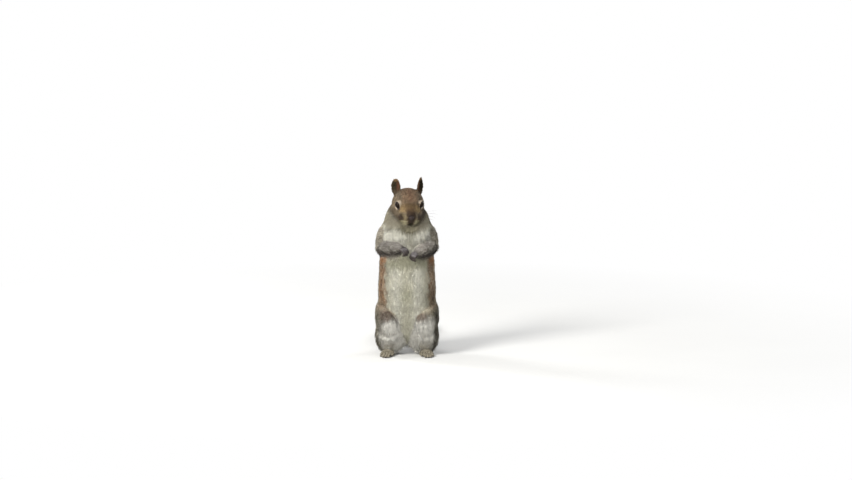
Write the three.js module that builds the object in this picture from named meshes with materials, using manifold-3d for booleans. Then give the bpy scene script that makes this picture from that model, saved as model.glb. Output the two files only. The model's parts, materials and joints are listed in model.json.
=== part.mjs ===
// A grey squirrel standing upright, alert, with its hands held together on its chest.
// Millimetres. +Z is up, the animal faces -Y, and its left side is +X.
// The solids reach out to the tips of the coat, so they give the animal's whole outline.
import * as THREE from "three";
import { mergeVertices } from "three/addons/utils/BufferGeometryUtils.js";
import Module from "manifold-3d";

const wasm = await Module();
wasm.setup();

// ---- Driving sizes ----------------------------------------------------------------------------

const GAP = 0.3; // left between two parts that touch
const SLIVER = 0.18; // detail finer than this is cleared away after a cut
const UP = new THREE.Vector3(0, 0, 1);
const OUT = new THREE.Vector3(1, 0, 0);
const SIDES = { left: 1, right: -1 };

// The trunk, neck included: [height, half-width, front, back].
const TRUNK = [
  [12, 0, 14, 14],
  [18, 22, -8, 36],
  [36, 34, -22, 46],
  [60, 39, -32, 47],
  [85, 41, -37, 42],
  [110, 40, -37, 36],
  [138, 38.5, -35, 33],
  [165, 39, -36, 32],
  [186, 36, -34, 30],
  [202, 31, -29, 27],
  [216, 25, -20, 23],
  [229, 18.5, -10, 17],
  [237, 0, 4, 4],
];
const WAIST = 140; // height of the cut between belly and chest
const COLLAR = 193; // height of the cut between chest and neck

// The head, seen from between its eyes: [distance behind them, half-width, bottom, top].
const HEAD = [
  [-30.5, 0, -7, -7],
  [-29, 6, -13.4, -0.8],
  [-25, 9.2, -19.4, 3],
  [-19, 12, -23.6, 6.6],
  [-12, 15.8, -26, 9.8],
  [-5, 19.2, -27.4, 12.4],
  [3, 22, -28, 14.6],
  [11, 23.6, -27.6, 15.8],
  [19, 23.8, -25, 15.6],
  [27, 21, -20, 12.8],
  [34, 14, -12, 7.5],
  [37, 0, -2, -2],
];
const HEAD_AT = new THREE.Vector3(3.6, -20, 221); // between the eyes
const HEAD_DOWN = THREE.MathUtils.degToRad(24);
const HEAD_TURN = THREE.MathUtils.degToRad(7); // towards the animal's left
const CHEEKS = 0.2; // how much wider the head is low down
const BOXY = 0.88; // under 1, a section is squarer than an oval

const EYE = { radius: 5.3, out: 15.9, behind: 0, up: 0.4 };
const PAD = { radius: 5.8, out: 4.2, behind: -23.6, up: -8.6 }; // a whisker pad beside the nose
const NOSE = { wide: 3.6, deep: 2.6, high: 2.8, behind: -29.4, up: -4.6 };
const EAR = {
  left: { length: 29, half: 7.8, cup: 4.6, out: 15.5, opens: 60, leans: 0.13, tip: 0.6, root: 0.85 },
  right: { length: 27, half: 8.4, cup: 4.4, out: 16, opens: 34, leans: 0.08, tip: 0.42, root: 1.2 },
};
const EAR_ROOT = { behind: 19, up: 0.5 };
const EAR_THICK = 1.8;
const EAR_BACK = 0.12; // how far an ear leans back

// The arms: joints of the bones, and [half-width, half-depth] of the furred limb at each.
const SHOULDER = [23.5, -6, 182];
const ELBOW = { left: [36, -4, 160], right: [36, -4, 157.5] };
const WRIST = { left: [14, -43, 153.5], right: [8, -43.5, 160.5] };
const UPPER_ARM_SIZE = [[10.8, 13], [12, 14.5], [10, 11.5]];
const FOREARM_SIZE = [[12, 13.5], [11, 12], [7, 6.8]];

// The legs.
const HIP = [25.5, 23, 61];
const KNEE = [26, -21, 50];
const SHIN_TOP = [24.2, -14, 50];
const ANKLE = [23.6, 0, 18];
const THIGH_SIZE = [[19, 34], [19.5, 33], [18.5, 22]];
const SHIN_SIZE = [[20, 19], [21.8, 20], [20.5, 17]];

// A hand lies along x, its back up, before it is turned into place. A foot does the same.
const HAND = {
  palm: 8.5,
  half: 6.2,
  thick: 4.6,
  fingers: 4,
  spacing: 3,
  radius: 1.9,
  bones: [4, 3.8, 2.6],
  bends: [48, 98, 140],
};
// Which way each hand points, and which way the back of it faces.
const HAND_AIM = {
  left: { points: [-0.66, -0.64, -0.4], back: [0.1, -0.5, 0.86] },
  right: { points: [0.66, -0.7, -0.26], back: [-0.1, -0.45, 0.88] },
};
const FOOT = {
  heel: 6.2,
  ball: 9,
  length: 44,
  thick: 4.6,
  toes: 5,
  spacing: 4.1,
  radius: 2.5,
  bones: [5.2, 4.8, 4],
  bends: [4, 10, 16],
};
const HEEL_AT = [25, 17, 0];
const TOES_OUT = 0.1; // how far the foot points outward
const CLAW = { radius: 1.05, tip: 0.3, fore: 4.8, hind: 4.6 };

// The tail lies behind on the ground: [x, y, z, half-width, half-thickness].
const TAIL = [
  [0, 33, 40, 11, 12],
  [-1, 50, 24, 18, 14],
  [-4, 76, 14.6, 26, 15],
  [-8, 112, 13.6, 32, 14.4],
  [-7, 150, 13.4, 34, 14],
  [0, 188, 13, 32, 13.6],
  [9, 218, 12.5, 25, 13],
  [17, 243, 12, 12, 10],
];
const TAIL_CUTS = [0.36, 0.68]; // where it is parted, as shares of its length

// ---- Curves and skins -------------------------------------------------------------------------

const vector = (a) => new THREE.Vector3(...a);
const mirrored = (side, [x, y, z]) => new THREE.Vector3(SIDES[side] * x, y, z);

// A smooth curve through rows of numbers, read by row index. Uneven rows are fine.
function along(rows, k) {
  const i = Math.min(Math.max(Math.floor(k), 0), rows.length - 2);
  const f = k - i;
  const row = (n) => rows[Math.min(Math.max(n, 0), rows.length - 1)];
  return rows[0].map((_, c) => {
    const [a, b, d, e] = [row(i - 1)[c], row(i)[c], row(i + 1)[c], row(i + 2)[c]];
    const bend = (2 * a - 5 * b + 4 * d - e) * f * f + (3 * b - 3 * d + e - a) * f * f * f;
    return b + ((d - a) * f + bend) / 2;
  });
}

// A closed mesh over rings of points, each end drawn to one point.
function skin(start, rings, end) {
  const sides = rings[0].length;
  const points = [start, ...rings.flat(), end];
  const at = (r, k) => 1 + r * sides + (k % sides);
  const faces = [];
  for (let k = 0; k < sides; k++) {
    faces.push(0, at(0, k + 1), at(0, k));
    for (let r = 0; r + 1 < rings.length; r++) {
      faces.push(at(r, k), at(r, k + 1), at(r + 1, k + 1));
      faces.push(at(r, k), at(r + 1, k + 1), at(r + 1, k));
    }
    faces.push(points.length - 1, at(rings.length - 1, k), at(rings.length - 1, k + 1));
  }
  const positions = new Float32Array(points.flatMap((p) => [p.x, p.y, p.z]));
  return new THREE.BufferGeometry()
    .setAttribute("position", new THREE.BufferAttribute(positions, 3))
    .setIndex(faces);
}

// A three.js geometry as a manifold-3d solid, its faces pointing out.
function solid(geometry) {
  const g = geometry.clone();
  g.deleteAttribute("normal");
  g.deleteAttribute("uv");
  const merged = mergeVertices(g, 1e-4);
  const vertProperties = merged.attributes.position.array;
  const made = (triVerts) =>
    new wasm.Manifold(new wasm.Mesh({ numProp: 3, vertProperties, triVerts }));
  const first = made(new Uint32Array(merged.index.array));
  return first.volume() > 0 ? first : made(new Uint32Array(merged.index.array).reverse());
}

// A body laid out in cross-sections along one axis, rows [place, half-width, low, high].
// place(x, u, s) puts a section's point into the animal. Its ends are rounded.
function stacked(rows, place, { sides, rings, pear = 0, square = 1, grow = 0 }) {
  const over = ([s, w, low, high]) => [s, -w, high, low];
  const [first, last] = [rows[0], rows[rows.length - 1]];
  const full = [over(rows[1]), ...rows, over(rows[rows.length - 2])];
  const ring = (k) => {
    const [s, w, low, high] = along(full, k);
    const turn = (n) => (2 * Math.PI * n) / sides;
    return Array.from({ length: sides }, (_, n) => {
      const [c, h] = [Math.cos(turn(n)), Math.sin(turn(n))].map(
        (r) => Math.sign(r) * Math.abs(r) ** square,
      );
      const x = (w + grow) * c * (1 - pear * h);
      return place(x, (low + high) / 2 + ((high - low) / 2 + grow) * h, s);
    });
  };
  const step = (rows.length - 1) / rings;
  const loops = Array.from({ length: rings - 1 }, (_, i) => ring(1 + (i + 1) * step));
  const pole = (row, sign) => place(0, row[2], row[0] + sign * grow);
  return solid(skin(pole(first, -1), loops, pole(last, 1)));
}

// A limb, digit or tail: an oval swept along joints, sizes [half-width, half-depth] at each.
// facing is the way its depth points; blunt makes its ends fuller.
function limb(joints, sizes, { sides, rings, facing = UP, blunt = 3, grow = 0 }) {
  const path = new THREE.CatmullRomCurve3(joints, false, "centripetal");
  const loops = [];
  for (let i = 1; i < rings; i++) {
    const t = (1 - Math.cos((Math.PI * i) / rings)) / 2;
    const swell = (1 - Math.abs(2 * t - 1) ** blunt) ** (1 / blunt);
    const [wide, deep] = along(sizes, t * (sizes.length - 1)).map((r) => r * swell + grow);
    const centre = path.getPoint(t);
    const tangent = path.getTangent(t);
    const across = tangent.clone().cross(facing).normalize();
    const depth = across.clone().cross(tangent).normalize();
    loops.push(
      Array.from({ length: sides }, (_, n) => {
        const turn = (2 * Math.PI * n) / sides;
        return centre
          .clone()
          .addScaledVector(across, wide * Math.cos(turn))
          .addScaledVector(depth, deep * Math.sin(turn));
      }),
    );
  }
  const start = path.getPoint(0).addScaledVector(path.getTangent(0), -grow);
  const end = path.getPoint(1).addScaledVector(path.getTangent(1), grow);
  return solid(skin(start, loops, end));
}

// A box from low to high, used only to part bodies and to level what stands on the floor.
function block(low, high) {
  const size = high.map((h, i) => h - low[i]);
  const middle = high.map((h, i) => (h + low[i]) / 2);
  return solid(new THREE.BoxGeometry(...size).translate(...middle));
}
const FAR = 400;
const aboveFloor = block([-FAR, -FAR, 0], [FAR, FAR, FAR]);
const between = (low, high) => block([-FAR, -FAR, low], [FAR, FAR, high]);

const joined = (solids) => solids.reduce((a, b) => a.add(b));
// The main body of a cut solid, without the crumbs and slivers that cutting leaves.
const main = (s) => s.simplify(SLIVER).decompose().sort((a, b) => b.volume() - a.volume())[0];

// ---- Head -------------------------------------------------------------------------------------

const headFrame = new THREE.Object3D();
headFrame.position.copy(HEAD_AT);
headFrame.rotation.set(HEAD_DOWN, 0, HEAD_TURN, "ZXY");
headFrame.updateMatrixWorld();
const inHead = (x, behind, up) => headFrame.localToWorld(new THREE.Vector3(x, behind, up));

const skull = (grow) =>
  stacked(HEAD, (x, up, behind) => inHead(x, behind, up), {
    sides: 20,
    rings: 13,
    pear: CHEEKS,
    square: BOXY,
    grow,
  });

// An egg with its axes along the head's.
function ball(centre, [x, y, z], grow) {
  const sphere = new THREE.SphereGeometry(1, 10, 7);
  const frame = new THREE.Matrix4()
    .makeRotationFromEuler(headFrame.rotation)
    .scale(new THREE.Vector3(x + grow, y + grow, z + grow))
    .setPosition(centre);
  return solid(sphere.applyMatrix4(frame));
}

const pad = (side, grow) => {
  const centre = inHead(SIDES[side] * PAD.out, PAD.behind, PAD.up);
  return ball(centre, [PAD.radius, PAD.radius, PAD.radius], grow);
};

const head = (grow) => joined([skull(grow), pad("left", grow), pad("right", grow)]);

const eye = (side, grow) => {
  const centre = inHead(SIDES[side] * EYE.out, EYE.behind, EYE.up);
  return ball(centre, [EYE.radius, EYE.radius, EYE.radius], grow);
};

const nose = (grow) =>
  ball(inHead(0, NOSE.behind, NOSE.up), [NOSE.wide, NOSE.deep, NOSE.high], grow);

// An ear is a leaf cupped towards the side that it opens to. A low tip makes it rounder, and a
// high root makes it narrower where it leaves the head.
function ear(side, grow) {
  const { length, half, cup, out, opens: opening, leans, tip, root } = EAR[side];
  const base = inHead(SIDES[side] * out, EAR_ROOT.behind, EAR_ROOT.up);
  const axis = new THREE.Vector3(SIDES[side] * leans, EAR_BACK, 1).normalize();
  const turn = THREE.MathUtils.degToRad(opening);
  const opens = new THREE.Vector3(SIDES[side] * Math.sin(turn), -Math.cos(turn), 0);
  opens.addScaledVector(axis, -opens.dot(axis)).normalize();
  const across = axis.clone().cross(opens);
  const [rings, steps] = [8, 6];
  const pole = (t) => base.clone().addScaledVector(axis, length * t);
  const loops = [];
  for (let i = 1; i < rings; i++) {
    const t = 0.5 - 0.5 * Math.cos((Math.PI * i) / rings);
    const leaf = Math.sin(Math.PI * t ** root) ** tip;
    const thick = EAR_THICK * (0.6 + 0.4 * leaf) + 2 * grow;
    const edge = (u, back) =>
      pole(t)
        .addScaledVector(across, (half * leaf + grow) * u)
        .addScaledVector(opens, cup * leaf * (1 - 0.5 * t) * (u * u - 0.5) - back);
    const front = Array.from({ length: steps + 1 }, (_, n) => edge((2 * n) / steps - 1, 0));
    const behind = Array.from({ length: steps - 1 }, (_, n) => {
      const u = 1 - (2 * (n + 1)) / steps;
      return edge(u, thick * (1 - u ** 4));
    });
    loops.push([...front, ...behind]);
  }
  return solid(skin(pole(0), loops, pole(1)));
}

// ---- Trunk and tail ---------------------------------------------------------------------------

const trunk = (grow) =>
  stacked(TRUNK, (x, y, z) => new THREE.Vector3(x, y, z), { sides: 20, rings: 13, grow });

const tailJoints = TAIL.map(([x, y, z]) => new THREE.Vector3(x, y, z));
const tailPath = new THREE.CatmullRomCurve3(tailJoints, false, "centripetal");
const tail = (grow) =>
  limb(
    tailJoints,
    TAIL.map(([, , , wide, thick]) => [wide, thick]),
    { sides: 16, rings: 15, blunt: 4, grow },
  );

// All the space past one share of the tail's length, starting a little way on.
function pastTail(t, start) {
  const forward = tailPath.getTangent(t);
  const turn = new THREE.Quaternion().setFromUnitVectors(UP, forward);
  const middle = tailPath.getPoint(t).addScaledVector(forward, FAR / 2 + start);
  return solid(new THREE.BoxGeometry(FAR, FAR, FAR).applyQuaternion(turn).translate(...middle));
}

// ---- Arms and legs ----------------------------------------------------------------------------

const upperArm = (side, grow) => {
  const [shoulder, elbow] = [mirrored(side, SHOULDER), mirrored(side, ELBOW[side])];
  const middle = shoulder.clone().lerp(elbow, 0.5);
  const tip = elbow.clone().addScaledVector(UP, -9);
  const top = shoulder.clone().addScaledVector(UP, 10);
  return limb([top, middle, tip], UPPER_ARM_SIZE, { sides: 12, rings: 7, facing: OUT, grow });
};

const forearm = (side, grow) => {
  const [elbow, wrist] = [mirrored(side, ELBOW[side]), mirrored(side, WRIST[side])];
  const back = elbow.clone().add(elbow.clone().sub(wrist).setLength(7));
  const middle = elbow.clone().lerp(wrist, 0.5);
  return limb([back, middle, wrist], FOREARM_SIZE, { sides: 12, rings: 7, blunt: 4, grow });
};

const thigh = (side, grow) => {
  const [hip, knee] = [mirrored(side, HIP), mirrored(side, KNEE)];
  const reach = knee.clone().sub(hip).setLength(18);
  const joints = [hip.clone().sub(reach), hip.clone().lerp(knee, 0.45), knee.clone().add(reach)];
  return limb(joints, THIGH_SIZE, { sides: 16, rings: 9, blunt: 2.5, grow });
};

const shin = (side, grow) => {
  const [top, ankle] = [mirrored(side, SHIN_TOP), mirrored(side, ANKLE)];
  const reach = ankle.clone().sub(top).setLength(9);
  const joints = [top.clone().sub(reach), top.clone().lerp(ankle, 0.5), ankle.clone().add(reach)];
  return limb(joints, SHIN_SIZE, { sides: 14, rings: 8, blunt: 3.5, grow });
};

// The line of a digit: it starts inside the palm or sole and bends down at each joint.
function digit(frame, across, start, level, { bones, bends }, scale = 1) {
  const points = [new THREE.Vector3(start - 5, across * 0.8, level)];
  const at = new THREE.Vector3(start, across, level);
  points.push(at.clone());
  bones.forEach((bone, i) => {
    const bend = THREE.MathUtils.degToRad(bends[i]);
    at.add(new THREE.Vector3(Math.cos(bend), 0, -Math.sin(bend)).multiplyScalar(bone * scale));
    points.push(at.clone());
  });
  return points.map((p) => p.applyMatrix4(frame));
}

// A frame with its x along the hand or foot and its z out of the back of it.
function aimed(origin, along3, back3) {
  const x = vector(along3).normalize();
  const y = vector(back3).cross(x).normalize();
  return new THREE.Matrix4().makeBasis(x, y, x.clone().cross(y)).setPosition(origin);
}

const handFrame = (side) =>
  aimed(mirrored(side, WRIST[side]), HAND_AIM[side].points, HAND_AIM[side].back);

const footFrame = (side) =>
  aimed(mirrored(side, HEEL_AT), [SIDES[side] * TOES_OUT, -1, 0], [0, 0, 1]);

const spread = (n, count) => n - (count - 1) / 2;

// The four fingers. The outer two are shorter and start further back.
function fingers(side) {
  const { fingers: count, spacing, palm } = HAND;
  return Array.from({ length: count }, (_, n) => {
    const off = spread(n, count);
    const short = Math.abs(off) > 1 ? 0.86 : 1;
    return digit(handFrame(side), off * spacing, palm - Math.abs(off), 0, HAND, short);
  });
}

// The five toes. The three middle ones are long and even.
function toes(side) {
  const { toes: count, spacing, length, radius } = FOOT;
  return Array.from({ length: count }, (_, n) => {
    const off = spread(n, count);
    const set = Math.abs(off) > 1 ? { back: 6, short: 0.8 } : { back: Math.abs(off), short: 1 };
    const inner = off * SIDES[side] < -1 ? 3 : 0; // the big toe sits furthest back
    const start = length - set.back - inner;
    return digit(footFrame(side), off * spacing, start, radius + 0.5, FOOT, set.short);
  });
}

const digitSizes = (radius) => [1, 1, 0.95, 1, 0.8].map((k) => [radius * k, radius * k]);
const frameUp = (frame) => new THREE.Vector3().setFromMatrixColumn(frame, 2);

const hand = (side, grow) => {
  const frame = handFrame(side);
  const middle = [-5, 4, HAND.palm + 3].map((x) => new THREE.Vector3(x, 0, 0).applyMatrix4(frame));
  const palm = limb(middle, [[4.6, 3.8], [HAND.half, HAND.thick], [HAND.half, 2.6]], {
    sides: 10,
    rings: 6,
    facing: frameUp(frame),
    grow,
  });
  const all = fingers(side).map((line) =>
    limb(line, digitSizes(HAND.radius), { sides: 5, rings: 6, blunt: 6, facing: frameUp(frame), grow }),
  );
  return joined([palm, ...all]);
};

const foot = (side, grow) => {
  const frame = footFrame(side);
  const { heel, ball: half, length, thick } = FOOT;
  const line = [
    [-3, 5.2],
    [12, 5],
    [30, 4.2],
    [length + 3, 3.4],
  ].map(([x, z]) => new THREE.Vector3(x, 0, z).applyMatrix4(frame));
  const sizes = [[heel, 6], [heel + 1, 6], [half, thick + 0.6], [half + 0.4, 3.6]];
  const sole = limb(line, sizes, { sides: 10, rings: 7, blunt: 3.4, grow });
  const all = toes(side).map((path) =>
    limb(path, digitSizes(FOOT.radius), { sides: 5, rings: 5, blunt: 6, grow }),
  );
  return joined([sole, ...all]).intersect(aboveFloor);
};

// A claw goes on from a digit's last bone and hooks down.
function claw(line, length) {
  const [before, tip] = line.slice(-2);
  const forward = tip.clone().sub(before).normalize();
  const down = new THREE.Vector3(0, 0, -1).addScaledVector(forward, forward.z).normalize();
  const start = tip.clone().addScaledVector(forward, -1.6);
  const middle = tip.clone().addScaledVector(forward, length * 0.5);
  const end = tip.clone().addScaledVector(forward, length * 0.86).addScaledVector(down, length * 0.3);
  end.z = Math.max(end.z, CLAW.tip);
  middle.z = Math.max(middle.z, CLAW.radius);
  const sizes = [CLAW.radius, CLAW.radius * 0.85, CLAW.tip].map((r) => [r, r * 1.2]);
  return limb([start, middle, end], sizes, { sides: 4, rings: 4, blunt: 5 }).intersect(aboveFloor);
}

// ---- Materials --------------------------------------------------------------------------------

const finish = (color, roughness) =>
  new THREE.MeshStandardMaterial({ color, roughness, metalness: 0 });
const LOOK = {
  greyFur: finish(0x8b867c, 0.9),
  whiteFur: finish(0xd6d4c6, 0.9),
  brownFur: finish(0x83705a, 0.9),
  skin: finish(0x4b443f, 0.6),
  eye: finish(0x120c08, 0.1),
  claw: finish(0x2b2523, 0.4),
};

// ---- Assembly ---------------------------------------------------------------------------------

const squirrel = new THREE.Group();

function add(name, shape, material) {
  const m = main(shape).getMesh();
  const geometry = new THREE.BufferGeometry()
    .setAttribute("position", new THREE.BufferAttribute(new Float32Array(m.vertProperties), 3))
    .setIndex(new THREE.BufferAttribute(new Uint32Array(m.triVerts), 1));
  geometry.computeVertexNormals();
  const mesh = new THREE.Mesh(geometry, material);
  mesh.name = name;
  squirrel.add(mesh);
}

// Each solid grown by the gap, to cut its neighbours with.
const both = (make) => Object.keys(SIDES).map(make);
const grown = {
  head: head(GAP),
  trunk: trunk(GAP),
  eyes: joined(both((side) => eye(side, GAP))),
  nose: nose(GAP),
  ears: joined(both((side) => ear(side, GAP))),
  upperArms: joined(both((side) => upperArm(side, GAP))),
  forearms: joined(both((side) => forearm(side, GAP))),
  hands: joined(both((side) => hand(side, GAP))),
  thighs: joined(both((side) => thigh(side, GAP))),
  shins: joined(both((side) => shin(side, GAP))),
  feet: joined(both((side) => foot(side, GAP))),
  tail: tail(GAP),
};

add("head", head(0).subtract(grown.eyes).subtract(grown.nose), LOOK.brownFur);
add("nose", nose(0), LOOK.skin);

const limbs = joined([grown.upperArms, grown.forearms, grown.hands, grown.thighs, grown.shins]);
const torso = trunk(0).subtract(joined([limbs, grown.head, grown.ears, grown.feet]));
add("belly", torso.intersect(between(0, WAIST - GAP / 2)), LOOK.whiteFur);
add("chest", torso.intersect(between(WAIST + GAP / 2, COLLAR - GAP / 2)), LOOK.whiteFur);
add("neck", torso.intersect(between(COLLAR + GAP / 2, FAR)), LOOK.greyFur);

for (const side of Object.keys(SIDES)) {
  add(`eye_${side}`, eye(side, 0), LOOK.eye);
  add(`ear_${side}`, ear(side, 0).subtract(grown.head), LOOK.brownFur);
  add(`upper_arm_${side}`, upperArm(side, 0).subtract(grown.head), LOOK.greyFur);
  add(`forearm_${side}`, forearm(side, 0).subtract(grown.upperArms), LOOK.greyFur);
  const under = side === "left" ? hand("right", GAP) : forearm("left", GAP);
  add(`hand_${side}`, hand(side, 0).subtract(grown.forearms).subtract(under), LOOK.skin);
  add(`thigh_${side}`, thigh(side, 0).intersect(aboveFloor), LOOK.greyFur);
  add(`shin_${side}`, shin(side, 0).subtract(grown.thighs).intersect(aboveFloor), LOOK.greyFur);
  add(`foot_${side}`, foot(side, 0).subtract(grown.shins).subtract(grown.thighs), LOOK.skin);
  fingers(side).forEach((line, n) => {
    add(`claw_hand_${side}_${n + 1}`, claw(line, CLAW.fore).subtract(grown.hands), LOOK.claw);
  });
  toes(side).forEach((line, n) => {
    add(`claw_foot_${side}_${n + 1}`, claw(line, CLAW.hind).subtract(grown.feet), LOOK.claw);
  });
}

const body = joined([grown.trunk, grown.thighs, grown.shins, grown.feet]);
const wholeTail = tail(0).intersect(aboveFloor).subtract(body);
const [firstCut, secondCut] = TAIL_CUTS;
const tailEnd = wholeTail.intersect(pastTail(firstCut, GAP / 2));
add("tail_base", wholeTail.subtract(pastTail(firstCut, -GAP / 2)), LOOK.greyFur);
add("tail_middle", tailEnd.subtract(pastTail(secondCut, -GAP / 2)), LOOK.greyFur);
add("tail_tip", tailEnd.intersect(pastTail(secondCut, GAP / 2)), LOOK.greyFur);

// The middle of the animal's box stands over the origin, its soles at z = 0.
const box = new THREE.Box3().setFromObject(squirrel);
const centre = box.getCenter(new THREE.Vector3());
squirrel.position.set(-centre.x, -centre.y, -box.min.z);

export default squirrel;
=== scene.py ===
# %% [markdown]
# # A grey squirrel, standing upright
# The animal stands on its hind feet, alert, with both hands held in front of its white chest.
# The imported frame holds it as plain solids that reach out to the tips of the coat.
# This lesson puts one unbroken skin inside those solids, grows a coat of small mesh tufts on it,
# and adds eyes, lids, nose, claws and whiskers.

# %% Load the frame
import json
import math

import bmesh
import bpy
import numpy as np
from mathutils import Matrix, Vector
from mathutils.bvhtree import BVHTree

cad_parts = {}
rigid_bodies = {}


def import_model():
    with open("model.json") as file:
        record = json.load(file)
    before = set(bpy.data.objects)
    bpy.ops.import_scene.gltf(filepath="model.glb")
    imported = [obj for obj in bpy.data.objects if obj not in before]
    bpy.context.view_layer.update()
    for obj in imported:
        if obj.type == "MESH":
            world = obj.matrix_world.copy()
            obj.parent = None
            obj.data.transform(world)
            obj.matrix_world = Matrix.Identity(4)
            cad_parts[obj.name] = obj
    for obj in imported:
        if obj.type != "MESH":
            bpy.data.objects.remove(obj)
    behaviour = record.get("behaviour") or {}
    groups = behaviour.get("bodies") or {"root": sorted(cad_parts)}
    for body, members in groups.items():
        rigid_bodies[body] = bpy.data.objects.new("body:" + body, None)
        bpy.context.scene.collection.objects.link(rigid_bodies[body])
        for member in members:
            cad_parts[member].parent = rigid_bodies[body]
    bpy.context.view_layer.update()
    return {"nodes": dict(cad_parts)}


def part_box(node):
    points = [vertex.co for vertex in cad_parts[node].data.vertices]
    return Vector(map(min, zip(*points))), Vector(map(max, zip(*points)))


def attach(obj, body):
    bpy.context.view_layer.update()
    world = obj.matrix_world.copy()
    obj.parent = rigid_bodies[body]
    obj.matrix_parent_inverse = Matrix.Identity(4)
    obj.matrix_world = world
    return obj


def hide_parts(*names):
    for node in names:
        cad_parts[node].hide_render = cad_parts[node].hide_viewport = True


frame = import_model()
nodes = frame["nodes"]
scene = bpy.context.scene
MM = 0.001  # metres
LOWEST = 0.02 * MM  # the skin stays this far above the floor
SIDES = {"left": 1, "right": -1}
print("solids:", len(nodes))

# %% [markdown]
# ## Landmarks
# Every later piece is placed from a few points on the animal: eyes, nose, hands, feet.
# They could be typed in, but the boxes of the solids give them, so the looks always fit the frame.
# The head is turned and tipped, so it gets axes of its own: sideways, forward and up.

# %% Landmarks from the boxes


def middle(name):
    low, high = (Vector(corner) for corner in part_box(name))
    return (low + high) / 2


EYES = {side: middle(f"eye_{side}") for side in SIDES}
EYE_RADIUS = (Vector(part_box("eye_left")[1]) - Vector(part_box("eye_left")[0])).x / 2
ROUND_EYE = EYE_RADIUS + 5 * MM  # as far as the lids and their short fur reach
NOSE = middle("nose")
BROW = (EYES["left"] + EYES["right"]) / 2
SIDEWAYS = (EYES["left"] - EYES["right"]).normalized()
FORWARD = NOSE - BROW
FORWARD = (FORWARD - SIDEWAYS * FORWARD.dot(SIDEWAYS)).normalized()
HEADUP = FORWARD.cross(SIDEWAYS)
HEAD_AXES = np.array([SIDEWAYS, FORWARD, HEADUP])
NOSE_AHEAD = (NOSE - BROW).length


def in_head(points):
    """Columns sideways, forward and up, in metres from the point between the eyes."""
    return (points - np.array(BROW)) @ HEAD_AXES.T


print("eyes apart", round((EYES["left"] - EYES["right"]).length / MM, 1), "mm")

# %% [markdown]
# ## The tail's core
# Inside the brush of a squirrel's tail is a thin rod of bone and skin. The solids of the tail
# reach to the tips of its long hairs, so shrinking them would leave a fat sausage. It is plainer to
# sweep a tapering rod along the middle of those solids, on which the long hairs then stand.

# %% The line of the tail
TAIL_ROWS = np.array([  # middle, then how far the hairs reach sideways, in mm
    (0, -62, 40, 11),
    (-1, -45, 25, 17),
    (-4, -19, 15, 25),
    (-8, 17, 13.6, 31),
    (-7, 55, 13.4, 34),
    (0, 93, 13, 33),
    (8, 118, 12.6, 26),
    (12, 131, 12.2, 19),
]) * MM
TAIL_THICK = (8.5 * MM, 2.0 * MM)


def smooth_line(points, count):
    """Evenly numbered points on a smooth curve through the given ones."""
    padded = np.vstack([2 * points[0] - points[1], points, 2 * points[-1] - points[-2]])
    steps = np.linspace(0, len(points) - 1 - 1e-9, count)
    k, f = steps.astype(int), (steps % 1)[:, None]
    a, b, c, d = (padded[k + i] for i in range(4))
    return b + 0.5 * f * (c - a + f * (2 * a - 5 * b + 4 * c - d + f * (3 * (b - c) + d - a)))


tail_rows = smooth_line(TAIL_ROWS, 120)
TAIL_POINTS, TAIL_REACH = tail_rows[:, :3], tail_rows[:, 3]
TAIL_RUN = np.gradient(TAIL_POINTS, axis=0)
TAIL_RUN /= np.linalg.norm(TAIL_RUN, axis=1)[:, None]


# %% Nearest place on the line, and rods along a line


def nearest_on_tail(points):
    """For each point, the number of the tail's nearest line point."""
    best = np.full(len(points), 0)
    least = np.full(len(points), np.inf)
    for k, place in enumerate(TAIL_POINTS):
        gap = ((points - place) ** 2).sum(1)
        closer = gap < least
        best[closer], least[closer] = k, gap[closer]
    return best


def sweep_rod(line, radii, sides=14):
    """A closed tapering rod along a line, as a bmesh."""
    rod = bmesh.new()
    rings = []
    for place, radius, k in zip(line, radii, range(len(line))):
        run = Vector(line[min(k + 1, len(line) - 1)] - line[max(k - 1, 0)]).normalized()
        turn = run.to_track_quat("Z", "Y").to_matrix().to_4x4()
        turn.translation = Vector(place)
        made = bmesh.ops.create_circle(rod, segments=sides, radius=radius, matrix=turn)
        rings.append(made["verts"])
    for a, b in zip(rings, rings[1:]):
        edges = [e for e in rod.edges if set(e.verts) <= set(a) or set(e.verts) <= set(b)]
        bmesh.ops.bridge_loops(rod, edges=edges)
    for ring in (rings[0], rings[-1]):
        bmesh.ops.contextual_create(rod, geom=[e for e in rod.edges if set(e.verts) <= set(ring)])
    bmesh.ops.recalc_face_normals(rod, faces=rod.faces)
    return rod


print("tail line:", round(float(np.ptp(TAIL_POINTS[:, 1])) / MM), "mm from end to end")

# %% Helpers for copies and pieces


def copied(name, grow=0.0):
    """A merged copy of a solid as a bmesh, grown along its normals."""
    part = bmesh.new()
    part.from_mesh(nodes[name].data)
    bmesh.ops.remove_doubles(part, verts=part.verts, dist=1e-6)
    part.normal_update()
    for vert in part.verts:
        vert.co += vert.normal * grow
    return part


def put_in(whole, part):
    """Adds one bmesh to another."""
    passing = bpy.data.meshes.new("passing")
    part.to_mesh(passing)
    whole.from_mesh(passing)
    bpy.data.meshes.remove(passing)
    part.free()


def piece(name, mesh, *materials):
    """An object in the scene, with its materials."""
    made = bpy.data.objects.new(name, mesh)
    scene.collection.objects.link(made)
    for material in materials:
        mesh.materials.append(material)
    return made


def worked_in(made):
    """The mesh of a piece with its modifiers worked in. The piece itself goes."""
    bpy.context.view_layer.update()
    done = made.evaluated_get(bpy.context.evaluated_depsgraph_get())
    mesh = bpy.data.meshes.new_from_object(done)
    bpy.data.objects.remove(made)
    return mesh


def smooth_piece(name, form, material):
    """Turns a bmesh into a smooth-shaded piece."""
    mesh = bpy.data.meshes.new(name)
    form.to_mesh(mesh)
    form.free()
    mesh.shade_smooth()
    return piece(name, mesh, material)


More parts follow.
